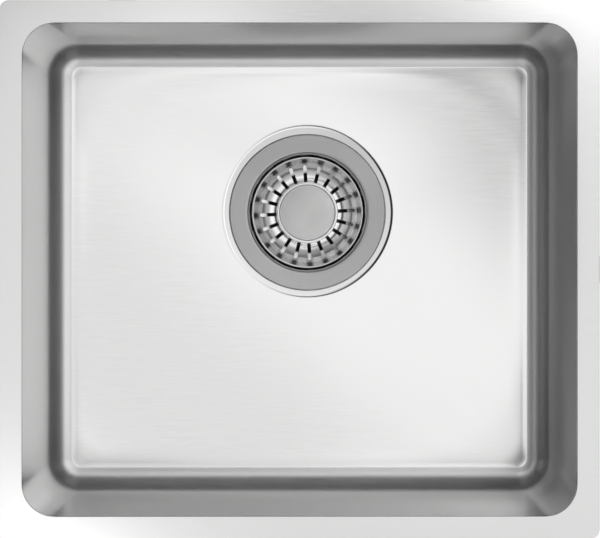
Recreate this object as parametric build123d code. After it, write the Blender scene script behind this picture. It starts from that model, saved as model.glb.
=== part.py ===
from build123d import *
import os

# Undermount kitchen sink with a lift-out basket waste. Millimetres.
# X runs along the bowl to the right, Y runs to the rear and Z points up.
# The origin is the middle of the bowl's opening, on the flange's top face,
# which is the face that lies against the underside of the worktop.

# Bowl: one sheet pressed to a box with a flange all round.
OPENING_LENGTH = 360.0
OPENING_WIDTH = 320.0
BOWL_DEPTH = 180.0
FLANGE_WIDTH = 15.0
SHEET = 1.0
OPENING_CORNER_R = 21.0
FLANGE_CORNER_R = 6.5
EDGE_BEVEL = 0.9
FLOOR_FILLET_R = 15.0
FLOOR_FALL = 2.5
FLOOR_MARGIN = 3.0

# A small rolled edge is drawn as two facets that meet at this share of it.
ROLL_FACET = 0.29

# Outlet: a round hole in a shallow recess, behind the middle of the floor. The
# recess's slope starts under the edge of the waste's flange.
DRAIN_X = 6.0
DRAIN_Y = 40.0
OUTLET_HOLE_R = 45.0
RECESS_DEPTH = 1.6
RECESS_RUN = 4.0
RECESS_CLEARANCE = 0.3

# Damping pads glued to the outside of the bowl.
PAD_THICKNESS = 2.0
PAD_CORNER_CUT = 8.0
WALL_PAD_TOP = 45.0
WALL_PAD_HEIGHT = 90.0
WALL_PAD_INSET = 40.0
FLOOR_PAD_INSET = 28.0
FLOOR_PAD_GAP = 2.0

# Clips that hold the flange up against the worktop, with their screws.
CLIP_SHEET = 1.5
CLIP_WIDTH = 18.0
CLIP_TOE = 9.0
CLIP_REACH = 20.0
CLIP_JOGGLE = 4.0
CLIP_DROP = 4.0
CLIP_BEND_R = 2.0
CLIP_INSET = 80.0
CLIP_SLOT_LENGTH = 11.0
SCREW_OFFSET = 10.5
SCREW_R = 3.0
SCREW_SHANK_R = 2.65
SCREW_THREAD_Z = -2.0
SCREW_CLEARANCE = 0.3
SCREW_STAND = 12.0
SCREW_HEAD_FLATS = 10.0
SCREW_HEAD_HEIGHT = 4.0

# Waste cup: a steel cup with a wide flange that lies in the recess.
CUP_FLANGE_R = 56.5
CUP_BORE_R = 42.2
CUP_SHEET = 1.0
CUP_ROLL = 3.2
CUP_SEAT_R = 29.0
CUP_SEAT_DEPTH = 30.3
CUP_SEAT_SLOPE = 0.25
CUP_SUMP_R = 26.5
CUP_FLOOR_DEPTH = 40.0
CUP_HUB_R = 10.0
CUP_WINDOW_RIM = 2.5
CUP_SPOKE_WIDTH = 6.0
SPOKE_ANGLE = 45.0

# Seals above and below the sheet round the outlet hole.
FLANGE_SEAL_THICKNESS = 1.0
FLANGE_SEAL_MARGIN = 1.5
FLANGE_SEAL_BORE_GAP = 0.2
GASKET_THICKNESS = 3.0
GASKET_WIDTH = 8.5

# Waste housing: a moulded funnel under the bowl with a threaded outlet.
HOUSING_WALL = 2.5
HOUSING_GAP = 0.8
HOUSING_FLANGE_THICKNESS = 3.0
HOUSING_WALL_DEPTH = 30.0
HOUSING_THROAT_R = 28.0
HOUSING_THROAT_DEPTH = 45.0
SPIGOT_R = 23.9
SPIGOT_BORE_R = 20.4
SPIGOT_TOP_DEPTH = 51.0
SPIGOT_LENGTH = 25.0
HUB_R = 9.0
HUB_LENGTH = 12.0
SPOKE_THICKNESS = 3.0
SPOKE_DROP = 2.0
GUSSET_COUNT = 8
GUSSET_WIDTH = 2.5
GUSSET_DEPTH = 16.0

# Clamp screw, whose ball head is also the catch for the basket.
CLAMP_SCREW_R = 3.0
CLAMP_HOLE_CLEARANCE = 0.3
CLAMP_COLLAR_R = 6.0
CLAMP_COLLAR_THICKNESS = 1.0
BALL_R = 3.5
BALL_NECK_R = 2.4
BALL_BEVEL = 1.5
BALL_RISE = 4.5
BALL_SLOT_WIDTH = 1.2
BALL_SLOT_DEPTH = 1.5
NUT_FLATS = 10.0
NUT_HEIGHT = 5.0
NUT_POCKET_CLEARANCE = 0.1
SCREW_END_PROUD = 1.0

# Strainer basket: a pressed dish with slots round a raised middle.
BASKET_SHEET = 0.8
BASKET_RIM_R = 40.8
BASKET_BEAD_R = 0.8
BASKET_WALL_SET_IN = 0.6
BASKET_RIM_DEPTH = 4.0
BASKET_KNEE_R = 36.8
BASKET_KNEE_DEPTH = 12.5
BASKET_SLOPE_R = 33.4
BASKET_SLOPE_DEPTH = 16.6
BASKET_TROUGH_R = 26.0
BASKET_TROUGH_DEPTH = 20.0
BASKET_BOSS_R = 22.7
BASKET_BOSS_RISE = 5.5
SLOT_COUNT = 20
SLOT_WIDTH = 2.6
SLOT_INNER_R = 23.0
SLOT_OUTER_R = 35.0
SLOT_FIRST_ANGLE = 3.0

# Stopper: the cap, stem, seal and collet that lift with the basket.
CAP_R = 19.5
CAP_THICKNESS = 2.3
CAP_CROWN = 0.6
CAP_EDGE_BEVEL = 0.5
CAP_RECESS_GAP = 1.0
CAP_RECESS_DEPTH = 1.5
TURNING_GAP = 0.3
STEM_R = 4.0
STEM_RUNNING_CLEARANCE = 0.06
CARRIER_HUB_R = 10.0
CARRIER_DISC_R = 24.0
CARRIER_DISC_DEPTH = 24.0
CARRIER_DISC_THICKNESS = 2.0
CARRIER_NECK_R = 7.0
SEAL_THICKNESS = 2.5
SEAL_BODY_R = 23.0
SEAL_LIP_THICKNESS = 1.6
SEAL_SEAT_GAP = 0.3
RETAINER_R = 18.0
RETAINER_THICKNESS = 1.0
NECK_BELOW_RETAINER = 1.5
COLLET_R = 10.0
COLLET_WEB = 1.5
COLLET_BORE_R = 4.8
COLLET_LIP_R = 4.0
COLLET_LIP_HEIGHT = 1.0
COLLET_FINGER = 2.0
COLLET_SLIT = 1.2
COLLET_COLLAR_GAP = 0.5

# Levels of the outlet, downwards from the worktop face. Depths in the waste
# are counted from the top of the cup's flange.
FLOOR_LOW_Z = -(BOWL_DEPTH + FLOOR_FALL)
SEAT_Z = FLOOR_LOW_Z - RECESS_DEPTH
CUP_TOP_Z = SEAT_Z + FLANGE_SEAL_THICKNESS + CUP_SHEET
SHEET_BOTTOM_DEPTH = CUP_SHEET + FLANGE_SEAL_THICKNESS + SHEET
HOUSING_TOP_DEPTH = SHEET_BOTTOM_DEPTH + GASKET_THICKNESS
CUP_OUTER_R = CUP_BORE_R + CUP_SHEET
HOUSING_BORE_R = CUP_OUTER_R + HOUSING_GAP
GASKET_R = HOUSING_BORE_R + GASKET_WIDTH
FLANGE_SEAL_BORE_R = CUP_BORE_R + CUP_ROLL + FLANGE_SEAL_BORE_GAP
RECESS_FOOT_R = CUP_FLANGE_R - FLANGE_SEAL_MARGIN + RECESS_CLEARANCE
RECESS_SLOPE = RECESS_DEPTH / RECESS_RUN
HUB_TOP_DEPTH = CUP_FLOOR_DEPTH + CUP_SHEET
HUB_BOTTOM_DEPTH = HUB_TOP_DEPTH + HUB_LENGTH
SPOKE_TOP_DEPTH = HUB_TOP_DEPTH + SPOKE_DROP
HALF_FLANGE_LENGTH = OPENING_LENGTH / 2 + FLANGE_WIDTH
HALF_FLANGE_WIDTH = OPENING_WIDTH / 2 + FLANGE_WIDTH
FALL_HALF_LENGTH = OPENING_LENGTH / 2 - FLOOR_FILLET_R - FLOOR_MARGIN
FALL_HALF_WIDTH = OPENING_WIDTH / 2 - FLOOR_FILLET_R - FLOOR_MARGIN
PLATE_BOTTOM_Z = -(SHEET + CLIP_DROP + CLIP_SHEET)

# Levels of the stopper's stack, downwards from the same flange.
BOSS_TOP_DEPTH = BASKET_TROUGH_DEPTH - BASKET_BOSS_RISE
CAP_RECESS_R = CAP_R + CAP_RECESS_GAP
CAP_FLOOR_DEPTH = BOSS_TOP_DEPTH + CAP_RECESS_DEPTH
CAP_BOTTOM_DEPTH = CAP_FLOOR_DEPTH - TURNING_GAP
CARRIER_TOP_DEPTH = CAP_FLOOR_DEPTH + BASKET_SHEET
SEAL_TOP_DEPTH = CARRIER_DISC_DEPTH + CARRIER_DISC_THICKNESS
RETAINER_TOP_DEPTH = SEAL_TOP_DEPTH + SEAL_THICKNESS
COLLET_TOP_DEPTH = RETAINER_TOP_DEPTH + RETAINER_THICKNESS
NECK_BOTTOM_DEPTH = COLLET_TOP_DEPTH + NECK_BELOW_RETAINER
COLLET_BOTTOM_DEPTH = CUP_FLOOR_DEPTH - CLAMP_COLLAR_THICKNESS - COLLET_COLLAR_GAP


def turned(points):
    """A solid of revolution about Z from a closed outline of (radius, height)."""
    outline = make_face(Polyline(*points, close=True))
    return revolve(Plane.XZ * outline, Axis.Z)


def pressed(points, thickness):
    """A round pressing: its upper surface runs inwards through the points."""
    corners = [Vector(r, z) for r, z in points]
    runs = [(end - start).normalized() for start, end in zip(corners, corners[1:])]
    outward = [Vector(-run.Y, run.X) for run in runs]
    under = [corners[0] + outward[0] * thickness]
    for corner, before, after in zip(corners[1:], outward, outward[1:]):
        mitre = before + after
        under.append(corner + mitre * (thickness / mitre.dot(before)))
    under.append(corners[-1] + outward[-1] * thickness)
    outline = corners + under[::-1]
    return turned([(corner.X, corner.Y) for corner in outline])


def ring(inner_r, outer_r, top_depth, thickness):
    """A flat ring in the waste, its top face at the given depth."""
    face = Circle(outer_r) - Circle(inner_r)
    return Pos(0, 0, -top_depth) * extrude(face, -thickness)


def in_outlet(shape):
    """Moves a piece drawn on the Z axis to its place in the outlet."""
    return Pos(DRAIN_X, DRAIN_Y, CUP_TOP_Z) * shape


# The bowl


def above_floor(prism, drop):
    """Cuts a prism off along the four planes that fall to the outlet."""
    lowest = (DRAIN_X, DRAIN_Y, FLOOR_LOW_Z - drop)
    right_run = FALL_HALF_LENGTH - DRAIN_X
    left_run = FALL_HALF_LENGTH + DRAIN_X
    rear_run = FALL_HALF_WIDTH - DRAIN_Y
    front_run = FALL_HALF_WIDTH + DRAIN_Y
    normals = [
        (-FLOOR_FALL, 0, right_run),
        (FLOOR_FALL, 0, left_run),
        (0, -FLOOR_FALL, rear_run),
        (0, FLOOR_FALL, front_run),
    ]
    for normal in normals:
        prism = split(prism, Plane(lowest, z_dir=normal), keep=Keep.TOP)
    return prism


def bowl_block(growth):
    """The space inside the bowl, made larger by growth on every side."""
    plan = RectangleRounded(
        OPENING_LENGTH + 2 * growth,
        OPENING_WIDTH + 2 * growth,
        OPENING_CORNER_R + growth,
    )
    block = extrude(plan, -(BOWL_DEPTH + growth))
    block = fillet(block.edges().group_by(Axis.Z)[0], FLOOR_FILLET_R + growth)
    fall_plan = Rectangle(2 * FALL_HALF_LENGTH, 2 * FALL_HALF_WIDTH)
    return block + above_floor(extrude(fall_plan, FLOOR_LOW_Z - growth), growth)


def recess_cone(foot_r, foot_z):
    """A cone that opens upwards from the outlet's seat, as the recess does."""
    height = RECESS_DEPTH + FLOOR_FALL + SHEET
    top_r = foot_r + height / RECESS_SLOPE
    return turned([
        (0, foot_z),
        (foot_r, foot_z),
        (top_r, foot_z + height),
        (0, foot_z + height),
    ])


def bowl():
    """The pressed bowl with its flange, draining floor, recess and hole."""
    flange = extrude(
        RectangleRounded(2 * HALF_FLANGE_LENGTH, 2 * HALF_FLANGE_WIDTH, FLANGE_CORNER_R),
        -SHEET,
    )
    slope_length = (RECESS_RUN ** 2 + RECESS_DEPTH ** 2) ** 0.5
    bend_offset = SHEET * (slope_length - RECESS_RUN) / RECESS_DEPTH
    outlet = Pos(DRAIN_X, DRAIN_Y, 0)
    body = flange + bowl_block(SHEET)
    body += outlet * recess_cone(RECESS_FOOT_R + bend_offset, SEAT_Z - SHEET)
    body -= bowl_block(0)
    opening_edge = [
        edge
        for edge in body.edges().filter_by_position(Axis.Z, 0, 0)
        if abs(edge.center().X) < HALF_FLANGE_LENGTH - FLANGE_WIDTH / 2
        and abs(edge.center().Y) < HALF_FLANGE_WIDTH - FLANGE_WIDTH / 2
    ]
    body = chamfer(opening_edge, EDGE_BEVEL)
    body -= outlet * recess_cone(RECESS_FOOT_R, SEAT_Z)
    hole = outlet * Pos(0, 0, SEAT_Z) * Cylinder(OUTLET_HOLE_R, 4 * SHEET)
    return body - hole


# The damping pads


def pad_outline(length, width):
    """A die-cut pad's outline, a rectangle with its corners cut off."""
    outline = Rectangle(length, width)
    return chamfer(outline.vertices(), PAD_CORNER_CUT)


def floor_pad():
    """The pad under the floor, cut away round the outlet."""
    plan = pad_outline(OPENING_LENGTH - 2 * FLOOR_PAD_INSET, OPENING_WIDTH - 2 * FLOOR_PAD_INSET)
    depth = FLOOR_LOW_Z - SHEET - PAD_THICKNESS
    pad = above_floor(extrude(plan, depth), SHEET + PAD_THICKNESS)
    pad -= above_floor(extrude(plan, depth), SHEET)
    recess_top_r = RECESS_FOOT_R + (RECESS_DEPTH + FLOOR_FALL) / RECESS_SLOPE
    return pad - Pos(DRAIN_X, DRAIN_Y, depth) * Cylinder(recess_top_r + FLOOR_PAD_GAP, 8 * PAD_THICKNESS)


def wall_pad(length, distance, turn):
    """A pad on the outside of one wall, at a distance from the middle."""
    plan = pad_outline(length, WALL_PAD_HEIGHT)
    wall_face = Plane(
        origin=(0, -distance, -WALL_PAD_TOP - WALL_PAD_HEIGHT / 2),
        x_dir=(1, 0, 0),
        z_dir=(0, -1, 0),
    )
    return Rot(0, 0, turn) * extrude(wall_face * plan, PAD_THICKNESS)


# The clips and their screws


def clip():
    """One clip, drawn with the flange's edge on the Y axis and X outwards."""
    toe_z = -SHEET
    plate_z = -SHEET - CLIP_DROP
    heel_x = CLIP_REACH - CLIP_SHEET
    top_line = FilletPolyline(
        (-CLIP_TOE, toe_z),
        (-CLIP_SHEET / 2, toe_z),
        (CLIP_JOGGLE, plate_z),
        (heel_x, plate_z),
        (heel_x, 0),
        radius=[0, 0, CLIP_BEND_R],
    )
    outline = offset(top_line, amount=CLIP_SHEET, side=Side.RIGHT, kind=Kind.INTERSECTION)
    profile = make_face(outline)
    strip = extrude(Plane.XZ * profile, CLIP_WIDTH / 2, both=True)
    slot_width = 2 * (SCREW_R + SCREW_CLEARANCE)
    slot = Box(CLIP_SLOT_LENGTH, slot_width, 8 * CLIP_SHEET)
    return strip - Pos(SCREW_OFFSET, 0, plate_z) * slot


def clip_screw():
    """A hexagon screw that points up through the clip into the worktop."""
    head = extrude(RegularPolygon(SCREW_HEAD_FLATS / 2, 6, major_radius=False), -SCREW_HEAD_HEIGHT)
    shank = extrude(Circle(SCREW_SHANK_R), SCREW_THREAD_Z - PLATE_BOTTOM_Z)
    thread = extrude(Circle(SCREW_R), SCREW_STAND - SCREW_THREAD_Z)
    screw = head + shank + Pos(0, 0, SCREW_THREAD_Z - PLATE_BOTTOM_Z) * thread
    return Pos(SCREW_OFFSET, 0, PLATE_BOTTOM_Z) * screw


def clip_places():
    """Names and places of the six clips round the flange."""
    along_length = HALF_FLANGE_LENGTH - CLIP_INSET
    return {
        "clip_right": Pos(HALF_FLANGE_LENGTH, 0, 0),
        "clip_rear_right": Pos(along_length, HALF_FLANGE_WIDTH, 0) * Rot(0, 0, 90),
        "clip_rear_left": Pos(-along_length, HALF_FLANGE_WIDTH, 0) * Rot(0, 0, 90),
        "clip_left": Pos(-HALF_FLANGE_LENGTH, 0, 0) * Rot(0, 0, 180),
        "clip_front_left": Pos(-along_length, -HALF_FLANGE_WIDTH, 0) * Rot(0, 0, 270),
        "clip_front_right": Pos(along_length, -HALF_FLANGE_WIDTH, 0) * Rot(0, 0, 270),
    }


# The waste


def waste_cup():
    """The steel cup: flange, wall, sloping seat, sump and windowed floor."""
    wall_foot = CUP_SEAT_DEPTH - (CUP_BORE_R - CUP_SEAT_R) * CUP_SEAT_SLOPE
    sump_top = CUP_SEAT_DEPTH + (CUP_SEAT_R - CUP_SUMP_R) * CUP_SEAT_SLOPE
    cup = pressed(
        [
            (CUP_FLANGE_R, 0),
            (CUP_BORE_R + CUP_ROLL, 0),
            (CUP_BORE_R + CUP_ROLL * ROLL_FACET, -CUP_ROLL * ROLL_FACET),
            (CUP_BORE_R, -CUP_ROLL),
            (CUP_BORE_R, -wall_foot),
            (CUP_SUMP_R, -sump_top),
            (CUP_SUMP_R, -CUP_FLOOR_DEPTH),
            (CLAMP_SCREW_R + CLAMP_HOLE_CLEARANCE, -CUP_FLOOR_DEPTH),
        ],
        CUP_SHEET,
    )
    window_r = CUP_SUMP_R - CUP_WINDOW_RIM
    windows = Circle(window_r) - Circle(CUP_HUB_R)
    windows -= Rectangle(3 * window_r, CUP_SPOKE_WIDTH)
    windows -= Rectangle(CUP_SPOKE_WIDTH, 3 * window_r)
    windows = extrude(Rot(0, 0, SPOKE_ANGLE) * windows, 2 * CUP_SHEET, both=True)
    return cup - Pos(0, 0, -CUP_FLOOR_DEPTH) * windows


def funnel():
    """The moulded funnel's wall, from under the bowl down to the outlet."""
    return pressed(
        [
            (HOUSING_BORE_R, -HOUSING_TOP_DEPTH),
            (HOUSING_BORE_R, -HOUSING_WALL_DEPTH),
            (HOUSING_THROAT_R, -HOUSING_THROAT_DEPTH),
            (SPIGOT_BORE_R, -SPIGOT_TOP_DEPTH),
        ],
        HOUSING_WALL,
    )


def waste_housing():
    """The moulded housing: flange, gussets and the funnel down to its throat."""
    throat = Plane((0, 0, -HOUSING_THROAT_DEPTH))
    housing = split(funnel(), throat, keep=Keep.TOP)
    housing += ring(HOUSING_BORE_R, GASKET_R, HOUSING_TOP_DEPTH, HOUSING_FLANGE_THICKNESS)
    wall_r = HOUSING_BORE_R + HOUSING_WALL / 2
    flange_bottom = HOUSING_TOP_DEPTH + HOUSING_FLANGE_THICKNESS
    gusset_outline = make_face(Polyline(
        (wall_r, -HOUSING_TOP_DEPTH - HOUSING_FLANGE_THICKNESS / 2),
        (GASKET_R - GUSSET_WIDTH / 2, -flange_bottom),
        (wall_r, -flange_bottom - GUSSET_DEPTH),
        close=True,
    ))
    gusset = extrude(Plane.XZ * gusset_outline, GUSSET_WIDTH / 2, both=True)
    for step in range(GUSSET_COUNT):
        housing += Rot(0, 0, (step + 0.5) * 360 / GUSSET_COUNT) * gusset
    return housing


def outlet_spigot():
    """The housing's lower end, which takes the trap's coupling nut."""
    throat = Plane((0, 0, -HOUSING_THROAT_DEPTH))
    spigot = split(funnel(), throat, keep=Keep.BOTTOM)
    return spigot + ring(SPIGOT_BORE_R, SPIGOT_R, SPIGOT_TOP_DEPTH, SPIGOT_LENGTH)


def clamp_bridge():
    """The hub and four spokes that carry the clamp nut in the throat."""
    top_share = (HOUSING_THROAT_DEPTH - SPOKE_TOP_DEPTH) / (HOUSING_THROAT_DEPTH - HOUSING_WALL_DEPTH)
    top_r = HOUSING_THROAT_R + (HOUSING_BORE_R - HOUSING_THROAT_R) * top_share
    throat = turned([
        (0, -SPOKE_TOP_DEPTH),
        (top_r, -SPOKE_TOP_DEPTH),
        (HOUSING_THROAT_R, -HOUSING_THROAT_DEPTH),
        (SPIGOT_BORE_R, -SPIGOT_TOP_DEPTH),
        (SPIGOT_BORE_R, -HUB_BOTTOM_DEPTH),
        (0, -HUB_BOTTOM_DEPTH),
    ])
    reach = 2 * HOUSING_BORE_R
    height = 2 * HUB_BOTTOM_DEPTH
    spokes = Box(reach, SPOKE_THICKNESS, height) + Box(SPOKE_THICKNESS, reach, height)
    spokes = Rot(0, 0, SPOKE_ANGLE) * spokes & throat
    bridge = spokes + Pos(0, 0, -HUB_TOP_DEPTH) * extrude(Circle(HUB_R), -HUB_LENGTH)
    screw_hole = Cylinder(CLAMP_SCREW_R + CLAMP_HOLE_CLEARANCE, 4 * HUB_LENGTH)
    pocket_flats = NUT_FLATS / 2 + NUT_POCKET_CLEARANCE
    pocket = extrude(RegularPolygon(pocket_flats, 6, major_radius=False), NUT_HEIGHT)
    return bridge - Pos(0, 0, -HUB_BOTTOM_DEPTH) * (screw_hole + pocket)


def clamp_nut():
    """The hexagon nut held in the bridge's hub."""
    face = RegularPolygon(NUT_FLATS / 2, 6, major_radius=False) - Circle(CLAMP_SCREW_R)
    return Pos(0, 0, -HUB_BOTTOM_DEPTH) * extrude(face, NUT_HEIGHT)


def clamp_screw():
    """The screw that draws the cup down, with a slotted ball as its head."""
    floor_z = -CUP_FLOOR_DEPTH
    end_z = -HUB_BOTTOM_DEPTH - SCREW_END_PROUD
    collar_z = floor_z + CLAMP_COLLAR_THICKNESS
    ball_z = floor_z + BALL_RISE
    screw = turned([
        (0, end_z),
        (CLAMP_SCREW_R, end_z),
        (CLAMP_SCREW_R, floor_z),
        (CLAMP_COLLAR_R, floor_z),
        (CLAMP_COLLAR_R, collar_z),
        (BALL_NECK_R, collar_z),
        (BALL_R, ball_z),
        (BALL_R - BALL_BEVEL, ball_z + BALL_R),
        (0, ball_z + BALL_R),
    ])
    slot = Box(4 * BALL_R, BALL_SLOT_WIDTH, 2 * BALL_SLOT_DEPTH)
    return screw - Pos(0, 0, ball_z + BALL_R) * slot


# The basket and its stopper


def basket_shell():
    """The slotted dish: bead, wall, slope, trough, boss and cap recess."""
    bead_r = BASKET_RIM_R - BASKET_BEAD_R
    bead_z = -BASKET_RIM_DEPTH - BASKET_BEAD_R
    dish = pressed(
        [
            (bead_r - BASKET_WALL_SET_IN, bead_z),
            (BASKET_KNEE_R, -BASKET_KNEE_DEPTH),
            (BASKET_SLOPE_R, -BASKET_SLOPE_DEPTH),
            (BASKET_TROUGH_R, -BASKET_TROUGH_DEPTH),
            (BASKET_BOSS_R, -BASKET_TROUGH_DEPTH),
            (BASKET_BOSS_R, -BOSS_TOP_DEPTH),
            (CAP_RECESS_R, -BOSS_TOP_DEPTH),
            (CAP_RECESS_R, -CAP_FLOOR_DEPTH),
            (STEM_R + STEM_RUNNING_CLEARANCE, -CAP_FLOOR_DEPTH),
        ],
        BASKET_SHEET,
    )
    bead_outline = Pos(bead_r, bead_z) * RegularPolygon(BASKET_BEAD_R, 4, rotation=45)
    bead = revolve(Plane.XZ * bead_outline, Axis.Z)
    slot_middle = (SLOT_INNER_R + SLOT_OUTER_R) / 2
    slot = Box(SLOT_OUTER_R - SLOT_INNER_R, SLOT_WIDTH, 4 * BASKET_TROUGH_DEPTH)
    slot = Pos(slot_middle, 0, 0) * slot
    shell = dish + bead
    for step in range(SLOT_COUNT):
        shell -= Rot(0, 0, SLOT_FIRST_ANGLE + step * 360 / SLOT_COUNT) * slot
    return shell


def centre_cap():
    """The spun disc in the middle, by which the basket is lifted."""
    bottom_z = -CAP_BOTTOM_DEPTH
    edge_z = bottom_z + CAP_THICKNESS
    cap = turned([
        (0, bottom_z),
        (CAP_R, bottom_z),
        (CAP_R, edge_z),
        (0, edge_z + CAP_CROWN),
    ])
    rim = cap.edges().filter_by(GeomType.CIRCLE).sort_by(Axis.Z)[-1]
    return chamfer(rim, CAP_EDGE_BEVEL)


def stem():
    """The pin under the cap, on which the basket turns."""
    length = NECK_BOTTOM_DEPTH - CAP_BOTTOM_DEPTH
    return Pos(0, 0, -CAP_BOTTOM_DEPTH) * extrude(Circle(STEM_R), -length)


def seal_carrier():
    """The moulded hub and disc that carry the basket and hold the seal."""
    return turned([
        (STEM_R, -CARRIER_TOP_DEPTH),
        (CARRIER_HUB_R, -CARRIER_TOP_DEPTH),
        (CARRIER_HUB_R, -CARRIER_DISC_DEPTH),
        (CARRIER_DISC_R, -CARRIER_DISC_DEPTH),
        (CARRIER_DISC_R, -SEAL_TOP_DEPTH),
        (CARRIER_NECK_R, -SEAL_TOP_DEPTH),
        (CARRIER_NECK_R, -NECK_BOTTOM_DEPTH),
        (STEM_R, -NECK_BOTTOM_DEPTH),
    ])


def stopper_seal():
    """The rubber disc whose lip closes on the cup's slope."""
    lip_bottom = CUP_SEAT_DEPTH - SEAL_SEAT_GAP
    lip_top = lip_bottom - SEAL_LIP_THICKNESS
    return turned([
        (CARRIER_NECK_R, -SEAL_TOP_DEPTH),
        (SEAL_BODY_R + SEAL_LIP_THICKNESS, -SEAL_TOP_DEPTH),
        (CUP_SEAT_R, -lip_top),
        (CUP_SEAT_R, -lip_bottom),
        (SEAL_BODY_R, -RETAINER_TOP_DEPTH),
        (CARRIER_NECK_R, -RETAINER_TOP_DEPTH),
    ])


def collet():
    """The split sleeve that screws to the carrier and grips the ball."""
    web_z = -NECK_BOTTOM_DEPTH - COLLET_WEB
    finger_r = COLLET_BORE_R + COLLET_FINGER
    bottom_z = -COLLET_BOTTOM_DEPTH
    lip_z = bottom_z + COLLET_LIP_HEIGHT
    sleeve = turned([
        (CARRIER_NECK_R, -COLLET_TOP_DEPTH),
        (COLLET_R, -COLLET_TOP_DEPTH),
        (COLLET_R, web_z),
        (finger_r, web_z),
        (finger_r, bottom_z),
        (COLLET_LIP_R, bottom_z),
        (COLLET_LIP_R, lip_z),
        (COLLET_BORE_R, lip_z + (COLLET_BORE_R - COLLET_LIP_R)),
        (COLLET_BORE_R, -NECK_BOTTOM_DEPTH),
        (CARRIER_NECK_R, -NECK_BOTTOM_DEPTH),
    ])
    slit_height = web_z - bottom_z - COLLET_WEB
    slits = Box(4 * finger_r, COLLET_SLIT, 2 * slit_height)
    slits += Box(COLLET_SLIT, 4 * finger_r, 2 * slit_height)
    return sleeve - Pos(0, 0, bottom_z) * slits


nodes = {
    "bowl": bowl(),
    "floor_damping_pad": floor_pad(),
    "flange_seal": in_outlet(ring(
        FLANGE_SEAL_BORE_R, CUP_FLANGE_R - FLANGE_SEAL_MARGIN, CUP_SHEET, FLANGE_SEAL_THICKNESS)),
    "under_gasket": in_outlet(ring(
        HOUSING_BORE_R, GASKET_R, SHEET_BOTTOM_DEPTH, GASKET_THICKNESS)),
    "waste_cup": in_outlet(waste_cup()),
    "waste_housing": in_outlet(waste_housing()),
    "outlet_spigot": in_outlet(outlet_spigot()),
    "clamp_bridge": in_outlet(clamp_bridge()),
    "clamp_nut": in_outlet(clamp_nut()),
    "clamp_screw": in_outlet(clamp_screw()),
    "basket_shell": in_outlet(basket_shell()),
    "centre_cap": in_outlet(centre_cap()),
    "stem": in_outlet(stem()),
    "seal_carrier": in_outlet(seal_carrier()),
    "stopper_seal": in_outlet(stopper_seal()),
    "seal_retainer": in_outlet(ring(
        CARRIER_NECK_R, RETAINER_R, RETAINER_TOP_DEPTH, RETAINER_THICKNESS)),
    "collet": in_outlet(collet()),
}

long_pad = OPENING_LENGTH - 2 * WALL_PAD_INSET
short_pad = OPENING_WIDTH - 2 * WALL_PAD_INSET
front_distance = OPENING_WIDTH / 2 + SHEET
side_distance = OPENING_LENGTH / 2 + SHEET
nodes["front_damping_pad"] = wall_pad(long_pad, front_distance, 0)
nodes["right_damping_pad"] = wall_pad(short_pad, side_distance, 90)
nodes["rear_damping_pad"] = wall_pad(long_pad, front_distance, 180)
nodes["left_damping_pad"] = wall_pad(short_pad, side_distance, 270)

places = clip_places()
for name, place in places.items():
    nodes[name] = place * clip()
nodes["clip_screws"] = Compound([place * clip_screw() for place in places.values()])

os.makedirs("parts", exist_ok=True)
for name, shape in nodes.items():
    export_step(shape, os.path.join("parts", name + ".step"))
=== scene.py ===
import math

import bmesh
import bpy
from mathutils import Matrix, Vector


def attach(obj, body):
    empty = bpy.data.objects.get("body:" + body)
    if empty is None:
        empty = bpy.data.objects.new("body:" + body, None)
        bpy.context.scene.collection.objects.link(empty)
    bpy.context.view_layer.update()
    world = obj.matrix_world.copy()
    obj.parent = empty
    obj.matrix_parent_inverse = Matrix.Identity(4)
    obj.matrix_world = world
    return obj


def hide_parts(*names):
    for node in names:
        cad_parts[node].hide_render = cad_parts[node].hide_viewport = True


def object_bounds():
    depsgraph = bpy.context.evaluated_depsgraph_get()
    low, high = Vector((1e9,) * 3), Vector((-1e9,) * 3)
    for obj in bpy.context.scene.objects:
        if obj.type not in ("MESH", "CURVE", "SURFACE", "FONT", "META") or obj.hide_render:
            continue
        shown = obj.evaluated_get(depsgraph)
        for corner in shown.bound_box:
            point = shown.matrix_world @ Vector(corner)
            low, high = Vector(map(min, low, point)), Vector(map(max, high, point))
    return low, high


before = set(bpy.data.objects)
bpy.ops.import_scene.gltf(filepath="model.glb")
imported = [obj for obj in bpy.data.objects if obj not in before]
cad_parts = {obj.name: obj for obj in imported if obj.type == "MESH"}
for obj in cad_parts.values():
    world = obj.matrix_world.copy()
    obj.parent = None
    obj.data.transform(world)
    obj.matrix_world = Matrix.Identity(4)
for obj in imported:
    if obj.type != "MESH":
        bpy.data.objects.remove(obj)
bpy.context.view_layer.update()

# The camera hangs 1.48 m above the worktop face and looks straight down, a
# little behind the middle of the bowl. Its long lens sees the four walls
# slightly drawn together towards the floor.
CAMERA_PLACE = (-0.0016, 0.0140, 1.479)
SENSOR_WIDTH, LENS = 36.0, 136.7
SHIFT_X, SHIFT_Y = 0.005, -0.035

camera_data = bpy.data.cameras.new("camera")
camera_data.sensor_width = SENSOR_WIDTH
camera_data.lens = LENS
camera_data.shift_x = SHIFT_X
camera_data.shift_y = SHIFT_Y
camera_data.clip_start = 0.1
camera_data.clip_end = 10.0
camera = bpy.data.objects.new("camera", camera_data)
camera.location = CAMERA_PLACE
bpy.context.scene.collection.objects.link(camera)
bpy.context.scene.camera = camera
bpy.context.scene.view_settings.view_transform = "Standard"

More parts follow.
